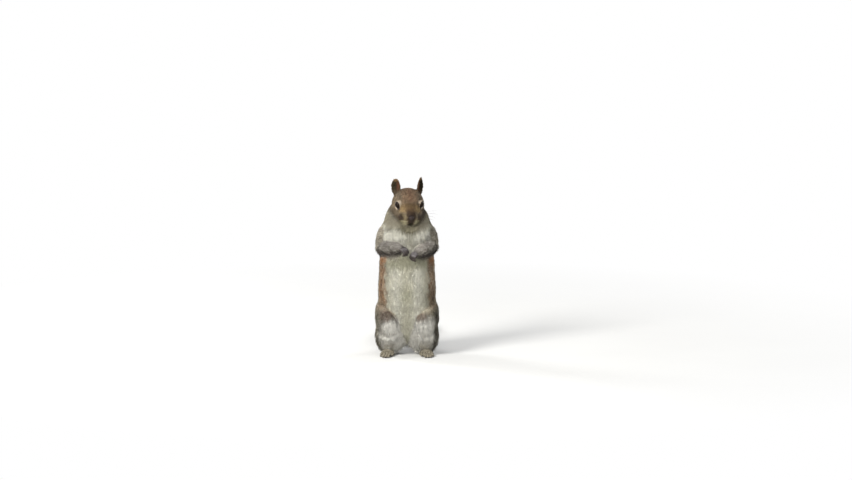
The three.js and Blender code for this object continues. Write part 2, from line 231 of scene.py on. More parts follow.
print("claws to reach:", sum(name.startswith("claw") for name in nodes))


# %% [markdown]
# ## Fingers and toes
# The solids of hands and feet are a little fat, because they reach to the tips of the hair. Fingers
# made on their own, each a tapering rod that bends at its joints and ends at its claw, keep the
# clefts between them open. Carving grooves would be the other way, but the clefts would stay shallow.

# %% Lines of the digits
HANDS = {  # wrist, the way the hand points, the way its back faces
    "left": ((14, -138, 153.5), (-0.66, -0.64, -0.4), (0.1, -0.5, 0.86)),
    "right": ((-8, -138.4, 160.5), (0.66, -0.7, -0.26), (-0.1, -0.45, 0.88)),
}
TOES_OUT = 0.1  # radians
DIGITS = {}


def digit(whole, line, radii, limb):
    """Adds a rounded digit along a few joints, and remembers its line."""
    line = np.array(line)
    path = smooth_line(line, 9)
    DIGITS.setdefault(limb, []).append(smooth_line(line, 24))
    put_in(whole, sweep_rod(path, np.interp(np.linspace(0, 1, 9), [0, 0.9, 1], radii), 12))
    for end, radius in ((path[0], radii[0]), (path[-1], radii[2])):
        turn = Matrix.Translation(Vector(end))
        bmesh.ops.create_uvsphere(whole, u_segments=12, v_segments=8, radius=radius, matrix=turn)


# %% A hand


def hand(whole, side):
    """A palm and four fingers, each with two bent bones, from the wrist to the claws."""
    wrist, ahead, back = (Vector(v) for v in HANDS[side])
    wrist, ahead = wrist * MM, ahead.normalized()
    back = (back - ahead * back.dot(ahead)).normalized()
    claws = [middle(f"claw_hand_{side}_{k}") for k in range(1, 5)]
    across = (claws[3] - claws[0]) / 3
    turn = Matrix((ahead, across.normalized(), back)).transposed().to_4x4()
    turn.translation = wrist + ahead * 4.2 * MM - back * 0.3 * MM
    turn = turn @ Matrix.Diagonal((6.6, 5.4, 3.0, 1))
    bmesh.ops.create_uvsphere(whole, u_segments=20, v_segments=12, radius=MM, matrix=turn)
    for k, claw in enumerate(claws):
        knuckle = wrist + ahead * (7.6 - 0.5 * (k - 1.5) ** 2) * MM + across * (k - 1.5) * 0.95
        start = wrist + ahead * 2.4 * MM + across * (k - 1.5) * 0.6 + back * 0.6 * MM
        line = [start, knuckle]
        for bone, bend in ((4, 42), (3.6, 92)):
            bend = math.radians(bend)
            line.append(line[-1] + (ahead * math.cos(bend) - back * math.sin(bend)) * bone * MM)
        line.append(claw + (line[-1] - claw).normalized() * 0.9 * MM)
        digit(whole, line, (1.35 * MM, 1.15 * MM, 0.9 * MM), f"hand_{side}")


# %% A foot


def foot(whole, side):
    """The heel of the foot's solid, cut off before the toes, and five toes that reach the claws."""
    ahead = Vector((math.sin(TOES_OUT) * SIDES[side], -math.cos(TOES_OUT), 0))
    heel = Vector((25 * SIDES[side], -78, 0)) * MM
    sole = copied(f"foot_{side}")
    everything = [*sole.verts, *sole.edges, *sole.faces]
    bmesh.ops.bisect_plane(sole, geom=everything, plane_co=heel + ahead * 38 * MM, plane_no=ahead,
                           clear_outer=True)
    bmesh.ops.holes_fill(sole, edges=[e for e in sole.edges if e.is_boundary])
    put_in(whole, sole)
    claws = [middle(f"claw_foot_{side}_{k}") for k in range(1, 6)]
    across = (claws[4] - claws[0]) / 4
    for k, claw in enumerate(claws):
        root = heel + ahead * (33 - 1.5 * abs(k - 2)) * MM + across * (k - 2) * 0.92
        claw = claw - ahead * 1.6 * MM
        line = [root + Vector((0, 0, 3.4 * MM))]
        line.append(root.lerp(claw, 0.6) + Vector((0, 0, 2.6 * MM - 0.6 * claw.z)))
        line.append(Vector((claw.x, claw.y, 2.0 * MM)))
        digit(whole, line, (2.2 * MM, 1.75 * MM, 1.45 * MM), f"foot_{side}")


# %% [markdown]
# ## One skin for the whole body
# The solids meet with hair-thin gaps, so copies of them are grown by a fraction of a millimetre until
# they overlap, and a voxel remesh then wraps one closed surface round them all. Sculpting by hand or
# a boolean union would also do it, but the remesh gives even faces that smooth well.

# %% Wrap the solids in one surface
FLESH = ["head", "neck", "chest", "belly"]
for part in ("ear", "upper_arm", "forearm", "hand", "thigh", "shin", "foot"):
    FLESH += [f"{part}_{side}" for side in SIDES]
TAIL_NODES = ["tail_base", "tail_middle", "tail_tip"]
VOXEL = 0.75 * MM
GROW = 0.22 * MM
EAR_GROW = 0.9 * MM  # the rim of an ear is thinner than a voxel
body = bmesh.new()
for name in [*FLESH, "eye_left", "eye_right"]:
    if not name.startswith(("hand", "foot")):
        put_in(body, copied(name, EAR_GROW if name.startswith("ear") else GROW))
for side in SIDES:
    hand(body, side)
    foot(body, side)
rod_line = TAIL_POINTS[::4]
put_in(body, sweep_rod(rod_line, np.linspace(*TAIL_THICK, len(rod_line))))
rough = bpy.data.meshes.new("rough_body")
body.to_mesh(rough)
body.free()
wrap = piece("wrap", rough)
remesh = wrap.modifiers.new("Wrap", "REMESH")
remesh.mode = "VOXEL"
remesh.voxel_size = VOXEL
shell = worked_in(wrap)
print("wrapped body:", len(shell.vertices), "points")

# %% [markdown]
# ## Working on the skin as arrays
# A coat needs many numbers at each point of the skin, such as which way the hair lies there and how
# long it is. Arrays do that for the whole skin at once. One helper averages each point with its
# neighbours. Used on places it softens the form, and used on numbers it blends the regions.

# %% Arrays, neighbours and averages


def read(rows, name, width, kind=float):
    """One property of many mesh elements, as rows of an array."""
    out = np.empty(len(rows) * width, dtype=kind)
    rows.foreach_get(name, out)
    return out.reshape(-1, width)


def places(mesh):
    return read(mesh.vertices, "co", 3)


def normals(mesh):
    return read(mesh.vertex_normals, "vector", 3)


def edges(mesh):
    return read(mesh.edges, "vertices", 2, np.int64)


def blended(values, pairs, times, share=0.5):
    """Each row moved towards the mean of its neighbours, several times over."""
    shape = np.shape(values)
    values = np.array(values, dtype=float).reshape(len(values), -1)
    ends = np.concatenate([pairs[:, 0], pairs[:, 1]])
    starts = np.concatenate([pairs[:, 1], pairs[:, 0]])
    count = np.bincount(ends, minlength=len(values))
    share = np.broadcast_to(np.reshape(share, (-1, 1)), (len(values), 1))
    for _ in range(times):
        near = np.stack([np.bincount(ends, column[starts], len(values)) for column in values.T], 1)
        values = values + share * (near / count[:, None] - values)
    return values.reshape(shape)


def settle(mesh, co):
    """Moves a mesh's points to new places."""
    mesh.vertices.foreach_set("co", co.ravel())
    mesh.update()


def step(low, high, x):
    """0 below low, 1 above high, and smooth between."""
    t = np.clip((x - low) / (high - low), 0, 1)
    return t * t * (3 - 2 * t)


def hill(x, middle, width):
    """1 at a middle, falling off on both sides like a bell."""
    return np.exp(-(((x - middle) / width) ** 2))


print("edges of the skin:", len(edges(shell)))


# %% Which solid each point of the skin lies in
names = [*FLESH, *TAIL_NODES]
corners, faces, owner = [], [], []
for k, name in enumerate(names):
    data = nodes[name].data
    start = len(corners)
    corners += [v.co.copy() for v in data.vertices]
    faces += [[start + i for i in p.vertices] for p in data.polygons]
    owner += [k] * len(data.polygons)
solids_tree = BVHTree.FromPolygons(corners, faces)
owner = np.array(owner)


def parts_of(co):
    """The number of the solid nearest to each point."""
    return owner[[solids_tree.find_nearest(p)[2] for p in co]]


def is_part(kinds, *wanted):
    """True where the point's solid has a name that starts with one of the wanted words."""
    chosen = [k for k, name in enumerate(names) if name.startswith(wanted)]
    return np.isin(kinds, chosen)


# %% Soften the form
co = places(shell)
kinds = parts_of(co)
pairs = edges(shell)
fine_part = is_part(kinds, "ear", "hand", "foot")
soft = blended(np.where(fine_part, 0.06, 0.5), pairs, 4)
cheek = blended(is_part(kinds, "head"), pairs, 10)
jaw_line = 4 * cheek * (1 - cheek) * step(-74 * MM, -90 * MM, co[:, 1])
co = blended(co, pairs, 30, soft * (1 - 0.6 * jaw_line))
ear = blended(is_part(kinds, "ear"), pairs, 2)
for _ in range(14):
    co = blended(co, pairs, 1, 0.5 * ear)
    co = blended(co, pairs, 1, -0.52 * ear)
settle(shell, co)

# %% Fill the legs
# Where the solids of a leg meet, the skin dips in. Only the dips are raised.
on_leg = is_part(kinds, "thigh", "shin", "belly") & (co[:, 2] > 16 * MM) & (co[:, 1] < -60 * MM)
on_leg = blended(on_leg, pairs, 10)
for _ in range(5):
    lift = ((blended(co, pairs, 60) - co) * normals(shell)).sum(1)
    co = co + normals(shell) * (np.maximum(lift, 0) * 1.5 * on_leg)[:, None]
    settle(shell, co)

# %% Fill the step under the knees
# The solids step back there, but real fur hangs straight down.
x, y, z = (co / MM).T
shin_face = step(12, 18, np.abs(x)) * step(-86, -100, y) * step(0.1, -0.7, normals(shell)[:, 1])
co[:, 1] -= 3.6 * MM * hill(z, 29, 8) * shin_face
shelf = step(8, 14, np.abs(x)) * step(-80, -94, y) * (z < 52) * (z > 14)
co = blended(co, pairs, 40, 0.9 * blended(shelf, pairs, 6))
settle(shell, co)
print("softened skin:", np.ptp(co, axis=0) / MM)

# %% [markdown]
# ## How deep the skin lies
# The solids reach to the tips of the coat, so the skin lies inside them by the coat's thickness:
# several millimetres on the back and legs, one on the face, and almost nothing on the hands and feet.
# The depth is blended from region to region, or the skin would have steps.

# %% Depth of the coat, part by part
DEPTH = {
    "head": 1.3, "neck": 2.0, "chest": 1.5, "belly": 1.3, "ear": 0.95, "upper_arm": 1.3,
    "forearm": 1.3, "hand": 0.1, "thigh": 1.7, "shin": 2.0, "foot": 0.2, "tail": 0.2,
}


def by_part(kinds, table):
    """One number for each point, from a table by the first word or two of its solid's name."""
    out = np.zeros(len(kinds))
    for k, name in enumerate(names):
        key = next(word for word in table if name.startswith(word))
        out[kinds == k] = table[key]
    return out


def tail_core(co):
    """True near the rod that the tail's hairs stand on."""
    line = TAIL_POINTS[nearest_on_tail(co)]
    return (np.linalg.norm(co - line, axis=1) < 10 * MM) & (co[:, 1] > -58 * MM)


# %% Sink the skin by the coat's depth
depth = by_part(kinds, DEPTH) * MM
depth[tail_core(co)] = 0.2 * MM
depth += jaw_line * 1.0 * MM
head_co = in_head(co)
near_nose = step(NOSE_AHEAD - 14 * MM, NOSE_AHEAD - 2 * MM, head_co[:, 1]) * is_part(kinds, "head")
depth -= near_nose * 0.8 * MM
depth = blended(depth, pairs, 24)
most = by_part(kinds, DEPTH) * MM
depth = np.where(is_part(kinds, "ear", "hand", "foot"), np.minimum(depth, most + 0.1 * MM), depth)
co = co - normals(shell) * depth[:, None]
co = blended(co, pairs, 4, soft * 0.6)
co[:, 2] = np.maximum(co[:, 2], LOWEST)
settle(shell, co)
print("mean depth:", round(float(depth.mean()) / MM, 2), "mm")

# %% [markdown]
# ## Clefts between the digits
# Remeshing and smoothing fill the narrow clefts between fingers and toes. They are pressed back in
# where a point of the skin is about as near to one digit as to the next.

# %% Press the clefts in


def cleft_depth(co):
    """1 midway between two neighbouring digits, 0 away from there."""
    out = np.zeros(len(co))
    for lines in DIGITS.values():
        near = np.flatnonzero(np.linalg.norm(co - lines[2].mean(0), axis=1) < 16 * MM)
        gaps = [np.linalg.norm(co[near][:, None] - line[None], axis=2).min(1) for line in lines]
        gaps = np.sort(np.stack(gaps, 1), axis=1)
        midway = hill(gaps[:, 1], gaps[:, 0], 0.7 * MM)
        out[near] = midway * step(4.5 * MM, 3.0 * MM, gaps[:, 0])
    return out


co = places(shell)
cleft = cleft_depth(co)
co = co - normals(shell) * (cleft * 1.0 * MM)[:, None]
co[:, 2] = np.maximum(co[:, 2], LOWEST)
settle(shell, co)
print("points in clefts:", int((cleft > 0.5).sum()))

# %% [markdown]
# ## Finer faces on the face
# Lids and lips are thinner than the faces of the wrapped skin. Only the front of the head is
# subdivided, so the detail is there and the rest of the skin stays light.

# %% Subdivide the face
fine = bmesh.new()
fine.from_mesh(shell)
in_face = set()
for vert, (side, ahead, up) in zip(fine.verts, in_head(places(shell))):
    by_eye = any((vert.co - centre).length < ROUND_EYE for centre in EYES.values())
    if by_eye or (ahead > NOSE_AHEAD - 22 * MM and abs(side) < 14 * MM and abs(up) < 22 * MM):
        in_face.add(vert)
face_edges = [e for e in fine.edges if e.verts[0] in in_face and e.verts[1] in in_face]
bmesh.ops.subdivide_edges(fine, edges=face_edges, cuts=1, use_grid_fill=True, smooth=0.0)
bmesh.ops.triangulate(fine, faces=[f for f in fine.faces if len(f.verts) > 4])
fine.to_mesh(shell)
fine.free()
print("skin with a fine face:", len(shell.vertices), "points")

# %% [markdown]
# ## Lids
# A squirrel's eye is large, round and dark, and bulges from the side of the head. Lids hug the ball.
# Here the skin round each eye is moved out from the ball's centre or in towards it: inside the
# almond of the opening it drops under the eyeball, and round the rim it stands a little proud.

# %% Directions round an eye
LID = 0.5 * MM


def eye_axes(side):
    """Out of the eye, along it towards the nose, and up."""
    out = (SIDEWAYS * SIDES[side] * 0.84 + FORWARD * 0.50 + HEADUP * 0.14).normalized()
    ahead = (FORWARD - out * FORWARD.dot(out)).normalized()
    up = out.cross(ahead)
    return np.array([out, ahead, up if up.z > 0 else -up])


def from_eye(co, side):
    """Distance from the eye's centre, angle from the opening's middle (1 at the lids' edge), and
    how far that direction is above the eye and how far it is towards the nose, from -1 to 1."""
    offset = (co - np.array(EYES[side])) @ eye_axes(side).T
    reach = np.maximum(np.linalg.norm(offset, axis=1), 1e-9)
    angle = np.degrees(np.arccos(np.clip(offset[:, 0] / reach, -1, 1)))
    flat = np.maximum(np.hypot(offset[:, 1], offset[:, 2]), 1e-9)
    lengthwise = np.abs(offset[:, 1]) / flat
    opening = 65 + 4 * lengthwise**6
    return reach, angle / opening, offset[:, 2] / flat, offset[:, 1] / flat


# %% Shape the lids
co = places(shell)
for side in SIDES:
    reach, rim, upward, _ = from_eye(co, side)
    lid_at = EYE_RADIUS + LID
    under = EYE_RADIUS - 0.6 * MM
    inside = under + (lid_at - under) * step(0.95, 1.03, rim)
    outside = np.maximum(reach, lid_at - LID * step(1.1, 1.45, rim))
    outside = np.minimum(outside, lid_at + 4.5 * MM * np.maximum(rim - 1.03, 0))
    wanted = np.where(rim < 1.03, inside, outside)
    fading = step(EYE_RADIUS + 9 * MM, EYE_RADIUS + 2.5 * MM, reach)
    strength = step(2.1, 1.5, rim) * np.where(rim < 1.03, reach < EYE_RADIUS + 8 * MM, fading)
    crease = hill(rim, 1.28, 0.06) * step(-0.1, 0.5, upward) * 0.22 * MM
    wanted = reach + (wanted - crease - reach) * strength
    centre = np.array(EYES[side])
    co = centre + (co - centre) / reach[:, None] * wanted[:, None]
settle(shell, co)

# %% [markdown]
# ## The mouth
# The lips meet in a fine dark line that starts in a cleft under the nose and runs back
# and down on both sides. It is a groove pressed into the skin, deepest in front.

# %% Press in the mouth
MOUTH_BELOW = 6.4 * MM


def mouth_depth(co):
    """How strongly each point lies in the mouth's line, from 0 to 1."""
    side, ahead, up = in_head(co).T
    back = NOSE_AHEAD - ahead
    line = -MOUTH_BELOW - 0.10 * back - 0.8 * np.abs(side) ** 1.5 / np.sqrt(10 * MM)
    lips = hill(up, line, 0.75 * MM) * step(17 * MM, 11 * MM, back) * (back > -3 * MM)
    in_cleft = (up > -MOUTH_BELOW) & (up < 0) & (back < 6 * MM)
    cleft = hill(side, 0, 0.55 * MM) * in_cleft * 0.8
    return np.maximum(lips, cleft) * (up < 0)


co = places(shell)
pressed = mouth_depth(co)
co = co - normals(shell) * (pressed * 0.9 * MM)[:, None]
settle(shell, co)
print("mouth line points:", int((pressed > 0.5).sum()))

# %% [markdown]
# ## Which way the hair lies
# On a standing squirrel the hair runs back from the nose over the head, down the trunk and limbs,
# and out from the bone of the tail. Each region gets one plain direction, and averaging over the
# skin turns the joins between regions into the smooth swirls seen on a real coat.

# %% Helpers for directions
LIMBS = {
    "upper_arm": ((25, -101, 184), (38, -99, 150)),
    "forearm": ((36, -99, 156), (11, -138, 155)),
    "hand": ((11, -136, 158), (5, -149, 149)),
    "foot": ((25, -80, 14), (27, -140, 0)),
}


def unit(rows):
    return rows / np.maximum(np.linalg.norm(rows, axis=1), 1e-12)[:, None]


def laid_flat(flow, normal):
    """The flow without the share of it that points out of the skin."""
    return unit(flow - normal * (flow * normal).sum(1)[:, None])


# %% The lie of the coat
co, normal, pairs = places(shell), normals(shell), edges(shell)
kinds = parts_of(co)
on_tail = tail_core(co)
side_of = np.where(co[:, 0] >= 0, 1.0, -1.0)
mirror = side_of[:, None] ** (1, 0, 0)
flow = np.tile((0.0, 0.0, -1.0), (len(co), 1))
low_back = step(75 * MM, 20 * MM, co[:, 2]) * step(-88 * MM, -62 * MM, co[:, 1])
flow += low_back[:, None] * np.array([(0, 0.8, 0)])
for word, (start, end) in LIMBS.items():
    run = np.subtract(end, start) / np.linalg.norm(np.subtract(end, start))
    there = is_part(kinds, word)
    flow[there] = run * mirror[there]
leg = is_part(kinds, "thigh", "shin")
fan = (np.abs(co[:, 0]) - 22 * MM) / (24 * MM) * step(80 * MM, 40 * MM, co[:, 2])
flow[leg] = np.stack(np.broadcast_arrays(side_of * fan * 0.75, -0.12, -1), 1)[leg]
head_co = in_head(co)
from_nose = co - np.array(NOSE + HEADUP * 1.5 * MM)
on_head = is_part(kinds, "head")
flow[on_head] = unit(from_nose)[on_head]
on_ear = is_part(kinds, "ear")
flow[on_ear] = (np.array(HEADUP) + side_of[:, None] * np.array(SIDEWAYS) * 0.25)[on_ear]
at = nearest_on_tail(co)
outward = unit(co - TAIL_POINTS[at])
flow[on_tail] = (TAIL_RUN[at] + 0.9 * outward * (1, 1, 0.35))[on_tail]
flow = laid_flat(blended(laid_flat(flow, normal), pairs, 14), normal)
print("lie of the coat at", len(flow), "points")

# %% [markdown]
# ## Markings, with painted light and shade
# The back and flanks are grizzled grey-brown, the chest and belly white, and a rusty line runs
# between them. The face is warmer, with a buff band across the bridge and pale rings round the eyes.
# Each marking is a soft-edged mask over the skin, painted over the one before, like thin washes of
# paint. Some washes are painted light and painted shade instead: darker on the side away from the key
# lamp, lighter towards it, and darker in folds, hollows and under the arms, hands and chin.
# Skin and tufts both take their colour from it, so they always agree.

# %% Helpers for painting


def linear(r, g, b):
    """A colour given in everyday 0 to 255 steps, as Blender's linear light."""
    c = np.array([r, g, b]) / 255
    return np.where(c <= 0.04045, c / 12.92, ((c + 0.055) / 1.055) ** 2.4)


def spot(points, centre, radii):
    """1 at a centre, falling smoothly to 0 about one radius away on each axis."""
    far = np.linalg.norm((points - np.array(centre)) / np.array(radii), axis=1)
    return step(1.25, 0.55, far)


def band(x, middle, half, soft):
    """1 within half of a middle, falling to 0 over a soft margin."""
    return step(half + soft, half, np.abs(x - middle))


def ripple(points, scale, seed):
    """Smooth random unevenness between -1 and 1, from a few crossing waves."""
    draw = np.random.default_rng(seed)
    total = np.zeros(len(points))
    for _ in range(9):
        wave = draw.normal(size=3)
        wave *= draw.uniform(0.6, 1.6) * 6.283 / scale / np.linalg.norm(wave)
        total += np.sin(points @ wave + draw.uniform(0, 6.283))
    return np.clip(total / 4.2, -1, 1)


# %% Shares of the parts, and a wash of colour
shares = {word: is_part(kinds, word) & ~on_tail for word in DEPTH}
shares["tail"] = is_part(kinds, "tail") | on_tail
PART_SHARES = dict(zip(shares, blended(np.stack(list(shares.values()), 1), pairs, 12).T))


def part(*wanted):
    """How much each point belongs to the wanted parts, soft at their edges."""
    return np.clip(sum(PART_SHARES[word] for word in wanted), 0, 1)


GREY_BROWN, OLIVE_GREY = (132, 122, 102), (164, 157, 136)
colour = np.tile(linear(*GREY_BROWN), (len(co), 1))  # the coat's ground colour
grizzle = np.ones(len(co))  # how strongly the hairs are banded


def wash(mask, r, g, b):
    """Lays a colour over the skin, as strongly as the mask says."""
    colour[:] = colour * (1 - mask[:, None]) + linear(r, g, b) * mask[:, None]


print("shares of the parts:", len(PART_SHARES))

# %% [markdown]
# ### Trunk
# The back is olive grey, and a rusty line edges the white front. The front is brightest on the bib
# and on two columns down the belly, and dimmer beside the arms, under the hands and under the chin,
# where the fur lies in its own shade. Lengths in these cells are in mm, and angles go round the trunk.

# %% Back and rusty line
x, y, z = (co / MM).T
out = np.abs(x)
wave, fine_wave = ripple(co, 30 * MM, 3), ripple(co, 9 * MM, 4)
round_front = np.degrees(np.arctan2(out, -(y + 88))) + wave * 4 + fine_wave * 5
trunk = part("chest", "belly", "neck")
wash(trunk * step(120, 90, round_front) * 0.6, *OLIVE_GREY)
half = 9 * band(z, 118, 18, 45)
stripe = band(round_front, 55, half, 16) * step(58, 100, z) * step(174, 150, z) * trunk
wash(stripe * (0.66 + 0.16 * fine_wave), 150, 116, 88)
# painted shade on the rusty line's side away from the key lamp, and painted light on the side towards
# it
wash(stripe * (x > 0) * 0.35, 108, 90, 72)
wash(stripe * (x < 0) * 0.5, 182, 146, 114)
wash(spot(np.stack([out, y, z], 1), (35, -108, 147), (7, 12, 10)) * trunk * 0.5, 164, 108, 64)
print("rusty line:", int((stripe > 0.5).sum()), "points")

# %% White front and throat
edge = 41 + 29 * step(150, 172, z) - 12 * step(186, 200, z)
front = step(edge + 10, edge - 6, round_front) * trunk
wash(front, 208, 205, 186)
columns = hill(out, 15, 9) * step(150, 128, z) * np.where(x < 0, 0.85, 1)
bib = step(150, 166, z) * step(197, 186, z + wave * 2)
wash(front * np.clip(columns * 0.8 + bib, 0, 1), 236, 234, 222)
# painted shade across the middle of the belly and under the arms
front_shade = band(z, 96, 6, 12) * hill(x, 0, 9) + band(z, 144, 5, 8) * 0.8
wash(front * front_shade * 0.4, 176, 174, 146)
# painted shade on the side of the front away from the key lamp
wash(front * step(10, 26, x) * band(z, 108, 30, 14) * 0.3, 146, 144, 126)
wash(front * band(z, 146, 6, 8) * step(36, 22, out) * 0.5, 140, 138, 112)  # painted shade under the hands
wash(front * hill(x, 4, 7) * band(z, 178, 12, 8) * 0.45, 172, 167, 142)  # painted shade down the middle of the chest
slope = np.where(x > 0, 162 + 0.75 * out, 161 + 0.38 * out) + fine_wave * 2.5
sleeve = front * step(2, -4, z - slope) * step(140, 150, z) * step(8, 16, out)
wash(sleeve * np.where(x > 0, 0.3, 0.8), 150, 144, 134)
# the grey throat under the chin is partly the neck's own grey and partly painted shade; the darker
# middle under the chin is painted shade
under_chin = step(186, 196, z + wave * 2 + 7 * hill(x, 3, 12)) * step(24, 12, np.abs(x - 3))
throat = np.clip(under_chin + step(188, 197, z + wave * 2), 0, 1) * front
wash(throat * 0.85, 158, 150, 132)
wash(step(180, 191, z) * step(19, 5, np.abs(x - 2)) * front * 0.75, 112, 107, 82)
# painted shade in the folds of fur at the shoulders
fold_shade = step(2.4, 0.8, np.abs(z - 187 - 0.5 * (x + 28))) * band(x, -27, 6, 3)
fold_shade += step(3.2, 1.0, np.abs(z - 181 + 1.6 * (x - 34)) / 1.6) * band(x, 34, 4, 2)
wash(fold_shade * step(-90, -100, y) * 0.5, 92, 86, 74)
wash(step(40, 60, round_front) * step(190, 200, z) * trunk * 0.5, *OLIVE_GREY)
front = front * (1 - 0.7 * sleeve)
grizzle *= 1 - front
print("white front:", int((front > 0.5).sum()), "points")

# %% [markdown]
# ### Arms, hands, legs and feet
# The forearm mixes light and dark hairs in narrow locks, with painted light on top and painted shade
# below. Hands are nearly bare and dark, with a painted highlight on the knuckles and painted shade in
# the clefts and underneath. The shins are white in front and dark outside, under a brown knee. Limbs
# on the side away from the key lamp are painted darker. Waves shift every border a little, because no
# border in a real coat is ruled.

# %% Arms and hands
wave, fine_wave = ripple(co, 26 * MM, 5), ripple(co, 8 * MM, 6)
upper_arm, forearm, hands = part("upper_arm"), part("forearm"), part("hand")
wash(upper_arm * 0.85, 192, 184, 168)
# painted shade on the upper arm away from the key lamp; on the lit side the hairs are less banded, as
# painted light
wash(upper_arm * (x > 0) * 0.5, 122, 116, 106)
grizzle *= 1 - 0.45 * upper_arm * (x < 0)
locks = ripple(co * (0.4, 1, 1), 3.4 * MM, 11)
wash(forearm * 0.9, 152, 147, 139)
wash(forearm * step(0.1, 0.9, locks) * 0.55, 206, 202, 194)
wash(forearm * step(-0.1, -0.8, locks) * 0.45, 90, 82, 78)
# painted light on the top of the forearm, where it faces up
lit_top = forearm * step(0.0, 0.6, normal[:, 2]) * step(50, 44, out)
wash(lit_top * 0.6, 196, 190, 184)
grizzle *= 1 - 0.6 * lit_top
# painted shade on the forearm: on the side away from the key lamp, along its lower part, at the elbow
# and on its underside
wash(forearm * (x > 0) * 0.2, 106, 100, 92)
wash(forearm * step(158, 149, z + fine_wave * 2) * np.where(x > 0, 0.3, 0.78), 84, 78, 70)
wash(forearm * step(33, 40, out + fine_wave * 3) * step(158, 151, z) * 0.5, 78, 70, 68)
wash(forearm * step(-0.1, -0.6, normal[:, 2]) * 0.7, 66, 58, 54)
wash(hands * 0.95, 78, 71, 68)
# painted highlight where the hands face up and forward, and painted shade on their lower part
wash(hands * step(0.3, 0.95, normal @ (0, -0.5, 0.86)) * 0.6, 166, 161, 164)
wash(hands * step(150, 145, z + (x < 0) * -6) * 0.5, 66, 58, 56)
print("forearm locks:", int((locks > 0.5).sum()), "points")

# %% Legs and feet
legs, feet = part("thigh", "shin"), part("foot")
thigh = legs * step(58, 72, z)
wash(thigh * 0.75, 172, 162, 142)
thigh_front = thigh * step(44, 34, out + wave * 2) * step(-95, -108, y)
wash(thigh_front * 0.7, 176, 166, 146)
# painted light on the thigh on the side towards the key lamp
wash(thigh * (x < 0) * 0.45, 194, 178, 158)
rusty = thigh * step(28, 35, out + fine_wave * 2) * step(68, 78, z) * step(-84, -98, y)
wash(rusty * 0.6, 158, 128, 102)
grizzle *= 1 - 0.6 * thigh_front
shin_front = step(44, 31, out + wave * 2 + fine_wave * 2) * step(-86, -99, y) * legs
shin_front *= step(70, 52, z + wave * 3)
wash(shin_front * 0.95, 242, 240, 233)
strands = ripple(co * (1, 1, 0.28), 5 * MM, 14)
wash(shin_front * step(0.2, 0.9, -strands) * 0.5, 132, 128, 120)
# faint painted shade in a band across the shins
wash(shin_front * band(z, 36, 3, 7) * 0.12, 176, 172, 162)
wash(spot(co / MM, (20, -126, 72), (11, 16, 6)) * 0.4, 204, 200, 184)
knee = spot(co / MM, (-30, -124, 63), (9, 18, 8)) + spot(co / MM, (21, -126, 61.5), (8, 14, 5))
wash(np.clip(knee, 0, 1) * (0.78 + 0.2 * fine_wave), 122, 104, 92)
slant = np.abs(z - 66 + 1.1 * (x + 25)) / 1.5
line = step(2.2, 0.7, slant) * band(x, -21, 4, 3) * step(-100, -110, y) * (legs + front * 0.6)
wash(np.clip(line, 0, 1) * 0.7, 84, 72, 64)
outer = step(33, 41, out + wave * 3) * legs * step(84, 66, z)
wash(outer * 0.75, 112, 108, 92)
# painted shade on the outer leg away from the key lamp, and low on the outer legs
wash(outer * (x > 0) * step(-62, -88, y) * 0.8, 56, 52, 46)
wash(outer * step(40, 16, z) * 0.5, 78, 72, 62)
wash(feet * 0.9, 168, 160, 142)
grizzle *= (1 - shin_front * 0.9) * (1 - feet * 0.5)
# painted shade in the clefts between fingers and toes
wash(cleft_depth(co) * (hands + feet) * 0.7, 44, 38, 35)
# fewer pale tips on the outer leg of the shaded side, as painted shade
plain = (1 - 0.85 * shin_front) * (1 - 0.5 * outer * (x > 0))
print("white shins:", int((shin_front > 0.5).sum()), "points")

# %% Unevenness, and the tail
streaks, coarse = ripple(co * (1, 1, 0.35), 5 * MM, 12), ripple(co * (1, 1, 0.5), 13 * MM, 13)
patchy = (0.06 + 0.2 * grizzle) * streaks + (0.04 + 0.07 * grizzle) * coarse
colour *= (1 + patchy * (1 - part("hand", "foot", "ear")))[:, None]
wash(part("tail") * 0.85, 132, 118, 92)

# %% [markdown]
# ### Head and ears
# The face is painted in the head's own measures, in mm: sideways from its middle line, ahead of the
# eyes, and how far above or below the eyes when it is looked at from in front. The muzzle is dark, the
# bridge buff, and each eye has a pale ring. The cheek on the side away from the key lamp is painted
# darker as shade. Each ear has painted shade in its hollow, and a pale rim.

# %% Face
off_middle, ahead, _ = in_head(co).T / MM
fine_wave, wave = ripple(co, 5 * MM, 8), ripple(co, 12 * MM, 9)
across = np.abs(off_middle) + fine_wave * 1.1
level = (co[:, 2] - BROW.z) / MM * 0.99 + (co[:, 1] - BROW.y) / MM * 0.14 + wave
head = part("head")
in_front = head * step(4, 13, ahead)
wash(head * 0.85, 120, 104, 82)
wash(head * step(15, 8, across) * step(-3, 4, level) * 0.7, 144, 118, 94)
wash(head * hill(off_middle, 1, 3.6) * step(-2, 6, level) * step(26, 16, level) * 0.3, 138, 96, 76)
wash(head * band(across, 14.5, 2, 4) * band(level, 7, 6, 6) * 0.4, 130, 116, 98)  # temples
side_of_face = head * step(14, 21, across) * step(-3, -10, level)
wash(side_of_face * 0.85, 80, 66, 50)
